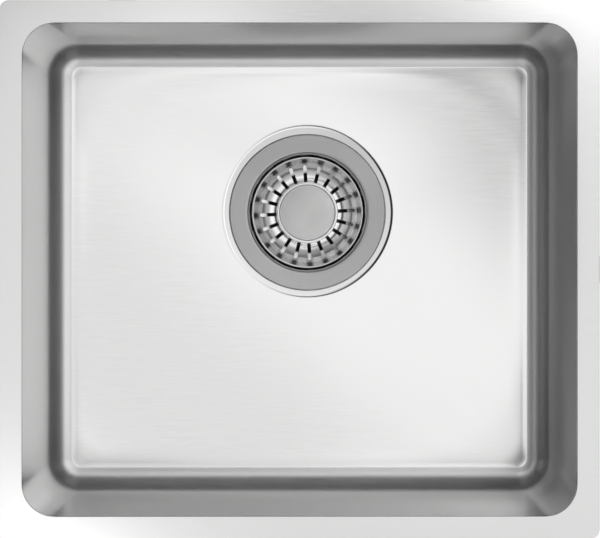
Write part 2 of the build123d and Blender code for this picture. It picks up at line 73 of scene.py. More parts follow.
# The studio is drawn on the world by direction, as on a ceiling one unit up:
# across to the right, and along to the rear. A soft panel hangs overhead, with
# rings of light and dark round it that pass softly into each other.
PANEL_EDGE, NEAR_EDGE, FAR_EDGE = (0.16, 0.23), (0.38, 0.50), (0.68, 0.82)
HORIZON_EDGE, SKYLINE_EDGE = (1.00, 1.25), (3.20, 5.00)
PANEL_LEVEL, HORIZON_LEVEL, SKYLINE_LEVEL = 0.93, 0.0, 0.35
BAND_START, BAND_RISE = (-0.028, 0.006), 0.36
BAND_END, BAND_FALL = (0.02, 0.12), 0.78
BAND_REACH = (0.125, 0.095)
NEAR_TURN, NEAR_LEVELS = (-0.3, 0.9), (0.02, 1.00)
ROOM_TURN, ROOM_LEVELS = (-0.85, 0.05), (0.06, 1.10)
RIGHT_GLOW_TURN, FRONT_GLOW_TURN, GLOW = (0.7, 1.0), (-0.6, -1.0), 0.25
FAR_LEVEL, FAR_TO_RIGHT, FAR_TO_REAR = 0.90, 0.04, 0.14
LAMP_LINE_TURN, LAMP_SHARPNESS, LAMP_LEVEL = 57.0, 16.0, 1.5
LAMP_START, LAMP_END = (0.15, 0.17), (0.25, 0.20)
LOWEST_UP, TINY = 0.04, 0.0001
WHITE = (1, 1, 1, 1)


def calculate(tree, operation, *values):
    """Adds a Math node and gives its output."""
    node = tree.nodes.new("ShaderNodeMath")
    node.operation = operation
    for socket, value in zip(node.inputs, values):
        if isinstance(value, bpy.types.NodeSocket):
            tree.links.new(value, socket)
        else:
            socket.default_value = value
    return node.outputs[0]


def soft_step(tree, value, start, end, low=0.0, high=1.0):
    """Goes smoothly from low to high as the value goes from start to end."""
    node = tree.nodes.new("ShaderNodeMapRange")
    node.interpolation_type = "SMOOTHSTEP"
    tree.links.new(value, node.inputs["Value"])
    limits = {"From Min": start, "From Max": end, "To Min": low, "To Max": high}
    for name, limit in limits.items():
        if isinstance(limit, bpy.types.NodeSocket):
            tree.links.new(limit, node.inputs[name])
        else:
            node.inputs[name].default_value = limit
    return node.outputs["Result"]


def split_xyz(tree, vector):
    """Gives a vector's three parts."""
    node = tree.nodes.new("ShaderNodeSeparateXYZ")
    tree.links.new(vector, node.inputs[0])
    return node.outputs[0], node.outputs[1], node.outputs[2]


studio = bpy.data.worlds.new("studio")
bpy.context.scene.world = studio
studio.use_nodes = True
sky = studio.node_tree
sky.nodes.clear()
towards = sky.nodes.new("ShaderNodeTexCoord").outputs["Generated"]
right, rear, up = split_xyz(sky, towards)
height = calculate(sky, "MAXIMUM", up, LOWEST_UP)
across = calculate(sky, "DIVIDE", right, height)
along = calculate(sky, "DIVIDE", rear, height)
along_squared = calculate(sky, "MULTIPLY_ADD", along, along, TINY)
flat_run = calculate(sky, "SQRT", calculate(sky, "MULTIPLY_ADD", across, across, along_squared))
to_right = calculate(sky, "DIVIDE", across, flat_run)
to_rear = calculate(sky, "DIVIDE", along, flat_run)

# The panel has a slanting bright band, and its rear right corner is dim.
slant = calculate(sky, "ADD", across, along)
rise = soft_step(sky, slant, *BAND_START, 0.0, BAND_RISE)
band = calculate(sky, "SUBTRACT", rise, soft_step(sky, slant, *BAND_END, 0.0, BAND_FALL))
panel = calculate(sky, "MULTIPLY_ADD", band, soft_step(sky, flat_run, *BAND_REACH), PANEL_LEVEL)

# Two lamps glow at the panel's edge, on a slanting line.
lamp_line = math.radians(LAMP_LINE_TURN)
on_line = calculate(sky, "MULTIPLY", to_rear, math.sin(lamp_line))
on_line = calculate(sky, "MULTIPLY_ADD", to_right, math.cos(lamp_line), on_line)
lamps = calculate(sky, "POWER", calculate(sky, "ABSOLUTE", on_line), LAMP_SHARPNESS)
lamp_ring = calculate(
    sky, "MULTIPLY", soft_step(sky, flat_run, *LAMP_START), soft_step(sky, flat_run, *LAMP_END)
)
lamps = calculate(sky, "MULTIPLY", lamps, lamp_ring)

# The near ring and the room's are bright on the right and dark on the left,
# and the far one is even. Then come a black ring and a dim skyline.
near = soft_step(sky, to_right, *NEAR_TURN, *NEAR_LEVELS)
room = soft_step(sky, to_right, *ROOM_TURN, *ROOM_LEVELS)
room = calculate(sky, "ADD", room, soft_step(sky, to_right, *RIGHT_GLOW_TURN, 0.0, GLOW))
room = calculate(sky, "ADD", room, soft_step(sky, to_rear, *FRONT_GLOW_TURN, 0.0, GLOW))
far = calculate(sky, "MULTIPLY_ADD", to_right, FAR_TO_RIGHT, FAR_LEVEL)
far = calculate(sky, "MULTIPLY_ADD", to_rear, FAR_TO_REAR, far)

level = soft_step(sky, flat_run, *PANEL_EDGE, panel, near)
level = soft_step(sky, flat_run, *NEAR_EDGE, level, room)
level = soft_step(sky, flat_run, *FAR_EDGE, level, far)
level = soft_step(sky, flat_run, *HORIZON_EDGE, level, HORIZON_LEVEL)
level = soft_step(sky, flat_run, *SKYLINE_EDGE, level, SKYLINE_LEVEL)
level = calculate(sky, "MULTIPLY_ADD", lamps, LAMP_LEVEL, level)

# What looks straight at the sky sees it white.
rays = sky.nodes.new("ShaderNodeLightPath")
seen = calculate(sky, "MAXIMUM", rays.outputs["Is Camera Ray"], rays.outputs["Is Transmission Ray"])
dome = sky.nodes.new("ShaderNodeBackground")
dome.inputs["Color"].default_value = WHITE
sky.links.new(level, dome.inputs["Strength"])
backdrop = sky.nodes.new("ShaderNodeBackground")
backdrop.inputs["Color"].default_value = WHITE
sky_mix = sky.nodes.new("ShaderNodeMixShader")
sky.links.new(seen, sky_mix.inputs[0])
sky.links.new(dome.outputs[0], sky_mix.inputs[1])
sky.links.new(backdrop.outputs[0], sky_mix.inputs[2])
sky_output = sky.nodes.new("ShaderNodeOutputWorld")
sky.links.new(sky_mix.outputs[0], sky_output.inputs[0])

# The floor of the studio is a sheet of paper, a little under the waste's
# spigot. The camera sees it white, with the sink's shadow, and it shows up
# grey in the steel.
PAPER_GAP, PAPER_REACH = 0.0005, 8.0
PAPER_COLOUR, PAPER_ROUGHNESS = (0.80, 0.80, 0.80, 1), 0.9
SEEN_GLOW, REFLECTED_GLOW = 0.72, 0.22


def principled(name, metallic=0.0):
    """Adds a material and gives it with its tree and its Principled BSDF."""
    material = bpy.data.materials.new(name)
    material.use_nodes = True
    surface = material.node_tree.nodes["Principled BSDF"]
    surface.inputs["Metallic"].default_value = metallic
    return material, material.node_tree, surface


paper_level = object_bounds()[0].z - PAPER_GAP
paper, tree, surface = principled("studio_paper")
surface.inputs["Base Color"].default_value = PAPER_COLOUR
surface.inputs["Roughness"].default_value = PAPER_ROUGHNESS
rays = tree.nodes.new("ShaderNodeLightPath")
seen = calculate(tree, "MAXIMUM", rays.outputs["Is Camera Ray"], rays.outputs["Is Transmission Ray"])
glow = calculate(tree, "MULTIPLY", seen, SEEN_GLOW)
glow = calculate(tree, "MULTIPLY_ADD", rays.outputs["Is Glossy Ray"], REFLECTED_GLOW, glow)
surface.inputs["Emission Color"].default_value = WHITE
tree.links.new(glow, surface.inputs["Emission Strength"])
bm = bmesh.new()
bmesh.ops.create_grid(bm, x_segments=2, y_segments=2, size=PAPER_REACH)
bmesh.ops.translate(bm, verts=bm.verts, vec=(0, 0, paper_level))
mesh = bpy.data.meshes.new("studio_floor")
bm.to_mesh(mesh)
bm.free()
mesh.materials.append(paper)
studio_floor = bpy.data.objects.new("studio_floor", mesh)
bpy.context.scene.collection.objects.link(studio_floor)

# The bowl is one sheet of 1 mm stainless steel, pressed to a box with a flat
# flange, with a recess and a round hole for the waste, and satin brushed. Its
# floor falls from all sides to the outlet. Sizes are in millimetres.
HALF_LENGTH, HALF_WIDTH, BOWL_DEPTH = 180.0, 160.0, 180.0
OPENING_CORNER_R, FLANGE_WIDTH, FLANGE_CORNER_R = 21.0, 15.0, 6.5
EDGE_ROLL_R, FLOOR_FILLET_R, SHEET = 0.7, 15.0, 1.0
FLOOR_MARGIN, FLOOR_FALL, RECESS_DEPTH, RECESS_RUN = 3.0, 2.5, 1.6, 4.0
DRAIN = Vector((6.0, 40.0, 0.0))
RECESS_FOOT_R, OUTLET_HOLE_R, RECESS_BEND, RIM_ROUNDS = 55.3, 45.0, 1.2, 6
WALL_ROWS = (30, 70, 110, 140)
LONG_STEPS, SHORT_STEPS, CORNER_STEPS, ROLL_STEPS, FILLET_STEPS = 40, 36, 12, 5, 12
EDGE_SEGMENTS, EDGE_ANGLE = 2, 35
FLOOR_SHARES = (0.04, 0.10, 0.2, 0.3, 0.4, 0.5, 0.6, 0.7, 0.8, 0.9, 1.0)
# The floor's four slopes are blended to one dish. In shares of the way from
# the outlet to the margin, its fall starts at 1.06 and is eased over 0.12.
FLOOR_ROUNDNESS, FALL_START, FALL_EASE = 3.5, 1.06, 0.12


def arc(centre, radius, start, end, steps):
    """Points (r, z) on an arc, from one angle to another in degrees."""
    turn = math.radians(end - start) / steps
    first = math.radians(start)
    return [
        (centre[0] + radius * math.cos(first + turn * i), centre[1] + radius * math.sin(first + turn * i))
        for i in range(steps + 1)
    ]


def edges_of(geometry):
    """The edges among an operation's results."""
    return [g for g in geometry if isinstance(g, bmesh.types.BMEdge)]


def verts_of(geometry):
    """The vertices among an operation's results."""
    return [g for g in geometry if isinstance(g, bmesh.types.BMVert)]


def extruded(bm, edges):
    """Extrudes a row of edges, and gives the new row's edges and vertices."""
    made = bmesh.ops.extrude_edge_only(bm, edges=edges)["geom"]
    return edges_of(made), verts_of(made)


def handed_on(verts, values):
    """Gives new vertices the values of those that they were extruded from."""
    result = {}
    for vert in verts:
        neighbours = [edge.other_vert(vert) for edge in vert.link_edges]
        result[vert] = [values[old] for old in neighbours if old in values][0]
    return result


def level_edges(bm, depth):
    """The open edges at a depth under the worktop face."""
    return [e for e in bm.edges if e.is_boundary and abs(e.verts[0].co.z + depth) < 0.01]


def floor_level(heading, reach):
    """The floor's height at a distance from the outlet."""
    side_x = abs(heading.x) / (fall_x - math.copysign(DRAIN.x, heading.x))
    side_y = abs(heading.y) / (fall_y - math.copysign(DRAIN.y, heading.y))
    share = reach * (side_x ** FLOOR_ROUNDNESS + side_y ** FLOOR_ROUNDNESS) ** (1 / FLOOR_ROUNDNESS)
    fall = max(0.0, FALL_START - share)
    if fall <= FALL_EASE:
        fall = fall * fall / FALL_EASE
    return -BOWL_DEPTH - FLOOR_FALL * fall / FALL_START


def make_piece(name, bm, material, body, nodes, bevel=0.0, wall=0.0):
    """Makes the finished object of a piece drawn in millimetres."""
    bmesh.ops.scale(bm, verts=bm.verts, vec=(0.001, 0.001, 0.001))
    mesh = bpy.data.meshes.new(name)
    bm.to_mesh(mesh)
    bm.free()
    mesh.shade_smooth()
    mesh.materials.append(material)
    piece = bpy.data.objects.new(name, mesh)
    bpy.context.scene.collection.objects.link(piece)
    if wall:
        sheet = piece.modifiers.new("sheet", "SOLIDIFY")
        sheet.thickness = wall / 1000
        sheet.offset = -1
        sheet.use_even_offset = True
    if bevel:
        edges = piece.modifiers.new("edges", "BEVEL")
        edges.width = bevel / 1000
        edges.segments = EDGE_SEGMENTS
        edges.limit_method = "ANGLE"
        edges.angle_limit = math.radians(EDGE_ANGLE)
        edges.harden_normals = False
        shading = piece.modifiers.new("shading", "WEIGHTED_NORMAL")
        shading.mode = "FACE_AREA"
        shading.keep_sharp = False
    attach(piece, body)
    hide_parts(*nodes)


wall_x = HALF_LENGTH - OPENING_CORNER_R
wall_y = HALF_WIDTH - OPENING_CORNER_R
fillet_foot_r = OPENING_CORNER_R - FLOOR_FILLET_R
profile = arc((OPENING_CORNER_R + EDGE_ROLL_R, -EDGE_ROLL_R), EDGE_ROLL_R, 90, 180, ROLL_STEPS)
profile += [(OPENING_CORNER_R, -depth) for depth in WALL_ROWS]
fillet_centre = (fillet_foot_r, -(BOWL_DEPTH - FLOOR_FILLET_R))
profile += arc(fillet_centre, FLOOR_FILLET_R, 0, -90, FILLET_STEPS)
profile += [(fillet_foot_r - FLOOR_MARGIN, -BOWL_DEPTH)]
bm = bmesh.new()
verts = [bm.verts.new((wall_x + r, -wall_y, z)) for r, z in profile]
chain = verts + [bm.edges.new(pair) for pair in zip(verts, verts[1:])]
for run_x, run_y, steps, corner_x, corner_y in (
    (0, 2 * wall_y, SHORT_STEPS, wall_x, wall_y),
    (-2 * wall_x, 0, LONG_STEPS, -wall_x, wall_y),
    (0, -2 * wall_y, SHORT_STEPS, -wall_x, -wall_y),
    (2 * wall_x, 0, LONG_STEPS, wall_x, -wall_y),
):
    for step in range(steps):
        chain = bmesh.ops.extrude_edge_only(bm, edges=edges_of(chain))["geom"]
        bmesh.ops.translate(bm, verts=verts_of(chain), vec=(run_x / steps, run_y / steps, 0))
    chain = bmesh.ops.spin(
        bm,
        geom=[g for g in chain if not isinstance(g, bmesh.types.BMFace)],
        cent=(corner_x, corner_y, 0),
        axis=(0, 0, 1),
        angle=math.radians(90),
        steps=CORNER_STEPS,
    )["geom_last"]
bmesh.ops.remove_doubles(bm, verts=bm.verts, dist=0.01)

outer_x = HALF_LENGTH + FLANGE_WIDTH - FLANGE_CORNER_R
outer_y = HALF_WIDTH + FLANGE_WIDTH - FLANGE_CORNER_R
for vert in extruded(bm, level_edges(bm, 0))[1]:
    side_x = max(-wall_x, min(wall_x, vert.co.x))
    side_y = max(-wall_y, min(wall_y, vert.co.y))
    outwards = Vector((vert.co.x - side_x, vert.co.y - side_y, 0)).normalized()
    vert.co = Vector((side_x * outer_x / wall_x, side_y * outer_y / wall_y, 0)) + outwards * FLANGE_CORNER_R

fall_x = HALF_LENGTH - FLOOR_FILLET_R - FLOOR_MARGIN
fall_y = HALF_WIDTH - FLOOR_FILLET_R - FLOOR_MARGIN
seat_z = -(BOWL_DEPTH + FLOOR_FALL + RECESS_DEPTH)
# The floor is drawn row by row, from its margin to the recess's rim. The rim's
# radius hangs on the floor's level there, and settles in a few rounds.
row = level_edges(bm, BOWL_DEPTH)
ways = {vert: (vert.co - DRAIN).xy for vert in {v for e in row for v in e.verts}}
for share in FLOOR_SHARES:
    row, fresh = extruded(bm, row)
    ways = handed_on(fresh, ways)
    for vert, way in ways.items():
        heading = way.normalized()
        rim_r = RECESS_FOOT_R + RECESS_RUN
        for attempt in range(RIM_ROUNDS):
            rim_r = RECESS_FOOT_R + (floor_level(heading, rim_r) - seat_z) * RECESS_RUN / RECESS_DEPTH
        reach = way.length * (1 - share) + rim_r * share
        vert.co = DRAIN + (heading * reach).to_3d()
        vert.co.z = floor_level(heading, reach)
recess_edges = row
for radius in (RECESS_FOOT_R, OUTLET_HOLE_R):
    row, fresh = extruded(bm, row)
    for vert in fresh:
        ray = vert.co - DRAIN
        ray.z = 0
        vert.co = DRAIN + ray.normalized() * radius
        vert.co.z = seat_z
    if radius == RECESS_FOOT_R:
        recess_edges = recess_edges + row
bmesh.ops.bevel(
    bm, geom=recess_edges, offset=RECESS_BEND, segments=4, affect="EDGES", profile=0.5, material=-1
)
bmesh.ops.recalc_face_normals(bm, faces=bm.faces)
if sum(face.normal.z * face.calc_area() for face in bm.faces) < 0:
    bmesh.ops.reverse_faces(bm, faces=bm.faces)

# The floor and flange are satin finished. The walls and the fillet at their
# foot are brushed along their length, which leaves them rougher across the
# brush lines. Heights are in metres, as the material reads them.
FLOOR_TOP, FILLET_FOOT, WALL_TOP, FLANGE_FOOT = -0.1800, -0.1799, -0.0022, -0.0002
SATIN, BRUSHED, BRUSH_PULL = 0.11, 0.33, 0.6
BOWL_DARK, BOWL_LIGHT = (0.765, 0.765, 0.762, 1), (0.800, 0.800, 0.797, 1)
STREAK_SCALE, STREAK_DETAIL, STREAK_ROUGHNESS = (60.0, 1200.0, 1200.0), 4.0, 0.65
NOISE_LOW, NOISE_HIGH, GLOSS_LOW, GLOSS_HIGH = 0.3, 0.7, 0.9, 1.1


def noise(tree, vector, scale, detail, roughness=0.5):
    """Adds a noise texture and gives its value."""
    node = tree.nodes.new("ShaderNodeTexNoise")
    node.inputs["Scale"].default_value = scale
    node.inputs["Detail"].default_value = detail
    node.inputs["Roughness"].default_value = roughness
    tree.links.new(vector, node.inputs["Vector"])
    return node.outputs["Fac"]


def two_tone(tree, value, dark, light, surface):
    """Colours a surface between two tones by a noise value."""
    shade = tree.nodes.new("ShaderNodeValToRGB")
    for element, position, colour in zip(
        shade.color_ramp.elements, (NOISE_LOW, NOISE_HIGH), (dark, light)
    ):
        element.position = position
        element.color = colour
    tree.links.new(value, shade.inputs["Fac"])
    tree.links.new(shade.outputs["Color"], surface.inputs["Base Color"])


bowl_steel, tree, surface = principled("bowl_steel", metallic=1.0)
surface.inputs["Anisotropic"].default_value = BRUSH_PULL
place = tree.nodes.new("ShaderNodeTexCoord").outputs["Object"]
place_z = split_xyz(tree, place)[2]
over_floor = soft_step(tree, place_z, FLOOR_TOP, FILLET_FOOT)
on_wall = calculate(tree, "MULTIPLY", over_floor, soft_step(tree, place_z, FLANGE_FOOT, WALL_TOP))
brush_way = tree.nodes.new("ShaderNodeCombineXYZ")
tree.links.new(calculate(tree, "SUBTRACT", 1.0, on_wall), brush_way.inputs[1])
tree.links.new(on_wall, brush_way.inputs[2])
tree.links.new(brush_way.outputs[0], surface.inputs["Tangent"])
stretch = tree.nodes.new("ShaderNodeMapping")
stretch.inputs["Scale"].default_value = STREAK_SCALE
tree.links.new(place, stretch.inputs["Vector"])
streaks = noise(tree, stretch.outputs[0], 1.0, STREAK_DETAIL, STREAK_ROUGHNESS)
two_tone(tree, streaks, BOWL_DARK, BOWL_LIGHT, surface)
gloss = soft_step(tree, on_wall, 0.0, 1.0, SATIN, BRUSHED)
uneven = soft_step(tree, streaks, NOISE_LOW, NOISE_HIGH, GLOSS_LOW, GLOSS_HIGH)
gloss = calculate(tree, "MULTIPLY", gloss, uneven)
tree.links.new(gloss, surface.inputs["Roughness"])
make_piece("pressed_bowl", bm, bowl_steel, "sink", ["bowl"], bevel=0.25, wall=SHEET)

# Damping pads are 2 mm sheets of filled rubber, die cut, with a pressed
# honeycomb of shallow dimples. They are glued to the outside of the four
# walls and to the underside of the floor, and quieten the thin steel.
PAD_THICKNESS, PAD_HEIGHT, PAD_TOP, PAD_CORNER_R, PAD_INSET = 2.0, 90.0, 45.0, 8.0, 40.0
PAD_EDGE, DIMPLES_PER_METRE, DIMPLE_EDGE = 0.4, 170.0, (0.20, 0.42)
DIMPLE_DEPTH, DIMPLE_STRENGTH, GRAIN_STRENGTH = 0.0006, 0.8, 0.5
CLOUD_SCALE, CLOUD_DETAIL, GRAIN_DETAIL, GLOSS_SPREAD = 60.0, 3.0, 2.0, 0.06


def add_relief(tree, height, depth, strength, surface):
    """Gives a surface a bump of a depth in metres."""
    relief = tree.nodes.new("ShaderNodeBump")
    relief.inputs["Strength"].default_value = strength
    relief.inputs["Distance"].default_value = depth
    tree.links.new(height, relief.inputs["Height"])
    tree.links.new(relief.outputs["Normal"], surface.inputs["Normal"])


def moulded(name, colour, roughness, spread, grain_scale, grain_depth, metallic=0.0):
    """A material with a fine grain and a slightly uneven colour, for moulded, cast or plated pieces."""
    material, tree, surface = principled(name, metallic)
    place = tree.nodes.new("ShaderNodeTexCoord").outputs["Object"]
    dark = [c * (1 - spread) for c in colour] + [1]
    light = [min(1, c * (1 + spread)) for c in colour] + [1]
    two_tone(tree, noise(tree, place, CLOUD_SCALE, CLOUD_DETAIL), dark, light, surface)
    grain = noise(tree, place, grain_scale, GRAIN_DETAIL)
    low, high = roughness - GLOSS_SPREAD, roughness + GLOSS_SPREAD
    gloss = soft_step(tree, grain, NOISE_LOW, NOISE_HIGH, low, high)
    tree.links.new(gloss, surface.inputs["Roughness"])
    add_relief(tree, grain, grain_depth / 1000, GRAIN_STRENGTH, surface)
    return material


pad_rubber = moulded("pad_rubber", (0.115, 0.117, 0.125), 0.74, 0.12, 900.0, 0.3)
tree = pad_rubber.node_tree
honeycomb = tree.nodes.new("ShaderNodeTexVoronoi")
honeycomb.inputs["Scale"].default_value = DIMPLES_PER_METRE
honeycomb.inputs["Randomness"].default_value = 0.0
tree.links.new(tree.nodes.new("ShaderNodeTexCoord").outputs["Object"], honeycomb.inputs["Vector"])
dimples = soft_step(tree, honeycomb.outputs["Distance"], *DIMPLE_EDGE)
add_relief(tree, dimples, DIMPLE_DEPTH, DIMPLE_STRENGTH, tree.nodes["Principled BSDF"])

long_pad = 2 * (HALF_LENGTH - PAD_INSET)
short_pad = 2 * (HALF_WIDTH - PAD_INSET)
for name, length, distance, turn in (
    ("front", long_pad, HALF_WIDTH, 0),
    ("right", short_pad, HALF_LENGTH, 90),
    ("rear", long_pad, HALF_WIDTH, 180),
    ("left", short_pad, HALF_LENGTH, 270),
):
    bm = bmesh.new()
    bmesh.ops.create_cube(bm, size=1.0)
    bmesh.ops.scale(bm, verts=bm.verts, vec=(length, PAD_THICKNESS, PAD_HEIGHT))
    upright = [e for e in bm.edges if abs(e.verts[0].co.y - e.verts[1].co.y) > 1]
    bmesh.ops.bevel(
        bm, geom=upright, offset=PAD_CORNER_R, segments=6, affect="EDGES", profile=0.5, material=-1
    )
    bmesh.ops.translate(
        bm, verts=bm.verts, vec=(0, -distance - SHEET - PAD_THICKNESS / 2, -PAD_TOP - PAD_HEIGHT / 2)
    )
    bmesh.ops.rotate(bm, verts=bm.verts, matrix=Matrix.Rotation(math.radians(turn), 3, "Z"))
    make_piece(
        name + "_pad", bm, pad_rubber, "sink", [name + "_damping_pad"], bevel=PAD_EDGE
    )

bm = bmesh.new()
bm.from_mesh(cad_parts["floor_damping_pad"].data)
bmesh.ops.remove_doubles(bm, verts=bm.verts, dist=0.00001)
bmesh.ops.dissolve_limit(bm, angle_limit=math.radians(0.3), verts=bm.verts, edges=bm.edges)
bmesh.ops.scale(bm, verts=bm.verts, vec=(1000, 1000, 1000))
make_piece("floor_pad", bm, pad_rubber, "sink", ["floor_damping_pad"], bevel=PAD_EDGE)

# Two black rubber rings seal the waste: a thin one between the cup's flange
# and the recess, and a thick one between the sheet and the housing, which is
# squeezed when the clamp screw is drawn up.
SEAL_THICKNESS, GASKET_THICKNESS, CUP_SHEET, WASTE_STEPS = 1.0, 3.0, 1.0, 96
# All heights in the waste count from the top of the cup's flange.
WASTE_LEVEL = seat_z + SEAL_THICKNESS + CUP_SHEET
SEAL_FOOT = -CUP_SHEET - SEAL_THICKNESS
GASKET_TOP = SEAL_FOOT - SHEET
GASKET_FOOT = GASKET_TOP - GASKET_THICKNESS


def bent(points):
    """A profile of (r, z, bend radius) points with its corners rounded."""
    line = []
    for i, (r, z, bend) in enumerate(points):
        here = Vector((r, z))
        if not bend:
            line.append((r, z))
            continue
        back = Vector(points[i - 1][:2]) - here
        on = Vector(points[(i + 1) % len(points)][:2]) - here
        half = back.angle(on) / 2
        run = bend / math.tan(half)
        middle = here + (back.normalized() + on.normalized()).normalized() * bend / math.sin(half)
        first = here + back.normalized() * run - middle
        last = here + on.normalized() * run - middle
        sweep = first.angle_signed(last)
        steps = max(2, round(abs(math.degrees(sweep)) / 15))
        for step in range(steps + 1):
            spoke = first.copy()
            spoke.rotate(Matrix.Rotation(-sweep * step / steps, 2))
            line.append(tuple(middle + spoke))
    return line


def turned(points, steps=WASTE_STEPS, closed=True):
    """A bmesh spun about the Z axis from a profile of (r, z) points."""
    bm = bmesh.new()
    verts = [bm.verts.new((r, 0, z)) for r, z in points]
    pairs = list(zip(verts, verts[1:]))
    if closed:
        pairs.append((verts[-1], verts[0]))
    edges = [bm.edges.new(pair) for pair in pairs if pair[0].co.x + pair[1].co.x > 0.001]
    bmesh.ops.spin(
        bm,
        geom=verts + edges,
        cent=(0, 0, 0),
        axis=(0, 0, 1),
        angle=math.radians(360),
        steps=steps,
        use_merge=True,
    )
    bmesh.ops.remove_doubles(bm, verts=bm.verts, dist=0.001)
    bmesh.ops.recalc_face_normals(bm, faces=bm.faces)
    return bm


def place_in_outlet(bm):
    """Moves a piece of the waste from the origin to its place."""
    bmesh.ops.translate(bm, verts=bm.verts, vec=(DRAIN.x, DRAIN.y, WASTE_LEVEL))


gasket_rubber = moulded("gasket_rubber", (0.030, 0.030, 0.031), 0.55, 0.15, 1500.0, 0.1)
for name, node, inner, outer, top, bottom, bend in (
    ("seal_ring", "flange_seal", 45.6, 55.0, -CUP_SHEET, SEAL_FOOT, 0.25),
    ("gasket_ring", "under_gasket", 44.0, 52.5, GASKET_TOP, GASKET_FOOT, 0.7),
):
    corners = [(inner, bottom), (outer, bottom), (outer, top), (inner, top)]
    bm = turned(bent([(r, z, bend) for r, z in corners]))
    place_in_outlet(bm)
    make_piece(name, bm, gasket_rubber, "sink", [node])

# The waste cup is drawn from 1 mm stainless sheet. Its broad flange is turned
# and circular brushed, and rolls over into a deep wall, a slope that the
# stopper's seal closes on, and a small sump with four drain windows.
CUP_FLANGE_R, CUP_ROLL_FOOT_R, CUP_BORE_R, CUP_SUMP_R = 56.5, 45.4, 42.2, 26.5
CUP_SLOPE_TOP, CUP_SUMP_TOP, CUP_FLOOR, CUP_EDGE = -27.0, -30.93, -40.0, 0.35
WINDOW_R, CUP_HUB_R, CLAMP_HOLE_R, SPOKE_HALF_WIDTH = 24.0, 10.0, 3.3, 3.0
SPOKE_RIM_TURN, POLISHED_R, POLISH = 11.25, 43.5, 0.14
RING_WANDER, RING_DETAIL, RING_ROUGHNESS = 1.5, 3.0, 0.6


def turned_steel(name, colour, roughness, pull, grain, pitch, polished_r=0.0, polish=0.0):
    """Steel with circular brush lines round the waste's axis, and polished inside a radius."""
    material, tree, surface = principled(name, metallic=1.0)
    surface.inputs["Anisotropic"].default_value = pull
    centred = tree.nodes.new("ShaderNodeMapping")
    centred.inputs["Location"].default_value = (-DRAIN.x / 1000, -DRAIN.y / 1000, 0)
    tree.links.new(tree.nodes.new("ShaderNodeTexCoord").outputs["Object"], centred.inputs["Vector"])
    flat = tree.nodes.new("ShaderNodeVectorMath")
    flat.operation = "MULTIPLY"
    flat.inputs[1].default_value = (1, 1, 0)
    tree.links.new(centred.outputs[0], flat.inputs[0])
    spoke = tree.nodes.new("ShaderNodeVectorMath")
    spoke.operation = "NORMALIZE"
    tree.links.new(flat.outputs[0], spoke.inputs[0])
    tree.links.new(spoke.outputs[0], surface.inputs["Tangent"])
    span = tree.nodes.new("ShaderNodeVectorMath")
    span.operation = "LENGTH"
    tree.links.new(flat.outputs[0], span.inputs[0])
    radius = span.outputs["Value"]
    spoke_x, spoke_y = split_xyz(tree, spoke.outputs[0])[:2]
    rings = tree.nodes.new("ShaderNodeCombineXYZ")
    tree.links.new(calculate(tree, "MULTIPLY", radius, 1000 / pitch), rings.inputs[0])
    tree.links.new(calculate(tree, "MULTIPLY", spoke_x, RING_WANDER), rings.inputs[1])
    tree.links.new(calculate(tree, "MULTIPLY", spoke_y, RING_WANDER), rings.inputs[2])
    lines = noise(tree, rings.outputs[0], 1.0, RING_DETAIL, RING_ROUGHNESS)
    dark = [c * (1 - grain) for c in colour] + [1]
    light = [min(1, c * (1 + grain * 0.5)) for c in colour] + [1]
    two_tone(tree, lines, dark, light, surface)
    gloss = soft_step(tree, lines, NOISE_LOW, NOISE_HIGH, roughness * 0.85, roughness * 1.15)
    if polished_r:
        gloss = soft_step(tree, radius, polished_r / 1000, polished_r / 1000 + 0.001, polish, gloss)
    tree.links.new(gloss, surface.inputs["Roughness"])
    return material


waste_steel = turned_steel(
    "waste_steel", (0.68, 0.68, 0.685), 0.38, 0.94, 0.10, 0.35, polished_r=POLISHED_R, polish=POLISH
)
bm = turned(bent([
    (CUP_FLANGE_R, -CUP_EDGE, 0), (CUP_FLANGE_R - CUP_EDGE, 0, 0.3), (CUP_ROLL_FOOT_R, 0, 0),
    (CUP_BORE_R, 0, 3.15), (CUP_BORE_R, CUP_SLOPE_TOP, 5.0),
    (CUP_SUMP_R, CUP_SUMP_TOP, 1.5), (CUP_SUMP_R, CUP_FLOOR, 1.8),
    (WINDOW_R, CUP_FLOOR, 0), (CUP_HUB_R, CUP_FLOOR, 0), (CLAMP_HOLE_R, CUP_FLOOR, 0),
]), closed=False)
if max(bm.faces, key=lambda face: face.calc_center_median().xy.length).normal.z < 0:
    bmesh.ops.reverse_faces(bm, faces=bm.faces)
# The rows of the sump's floor are moved round so that the spokes between the
# windows are equally wide all along.
quarter = math.radians(90)
rim_turn = math.radians(SPOKE_RIM_TURN)
for vert in [v for v in bm.verts if v.co.z < CUP_FLOOR + 0.1 and v.co.xy.length < WINDOW_R + 0.1]:
    radius = vert.co.xy.length
    angle = (math.atan2(vert.co.y, vert.co.x) - quarter / 2) % quarter
    base = math.atan2(vert.co.y, vert.co.x) - angle
    spoke_turn = math.asin(SPOKE_HALF_WIDTH / radius) if radius > CUP_HUB_R / 2 else rim_turn
    if angle <= rim_turn + 0.001:
        angle = angle / rim_turn * spoke_turn
    elif angle >= quarter - rim_turn - 0.001:
        angle = quarter - (quarter - angle) / rim_turn * spoke_turn
    else:
        angle = spoke_turn + (angle - rim_turn) / (quarter - 2 * rim_turn) * (quarter - 2 * spoke_turn)
    vert.co.x = radius * math.cos(base + angle)
    vert.co.y = radius * math.sin(base + angle)
windows = []
for face in bm.faces:
    middle = face.calc_center_median()
    if middle.z < CUP_FLOOR + 0.1 and CUP_HUB_R + 1 < middle.xy.length < WINDOW_R - 1:
        off_spoke = [abs(middle.x - middle.y), abs(middle.x + middle.y)]
        if min(off_spoke) / math.sqrt(2) > SPOKE_HALF_WIDTH:
            windows.append(face)
bmesh.ops.delete(bm, geom=windows, context="FACES")
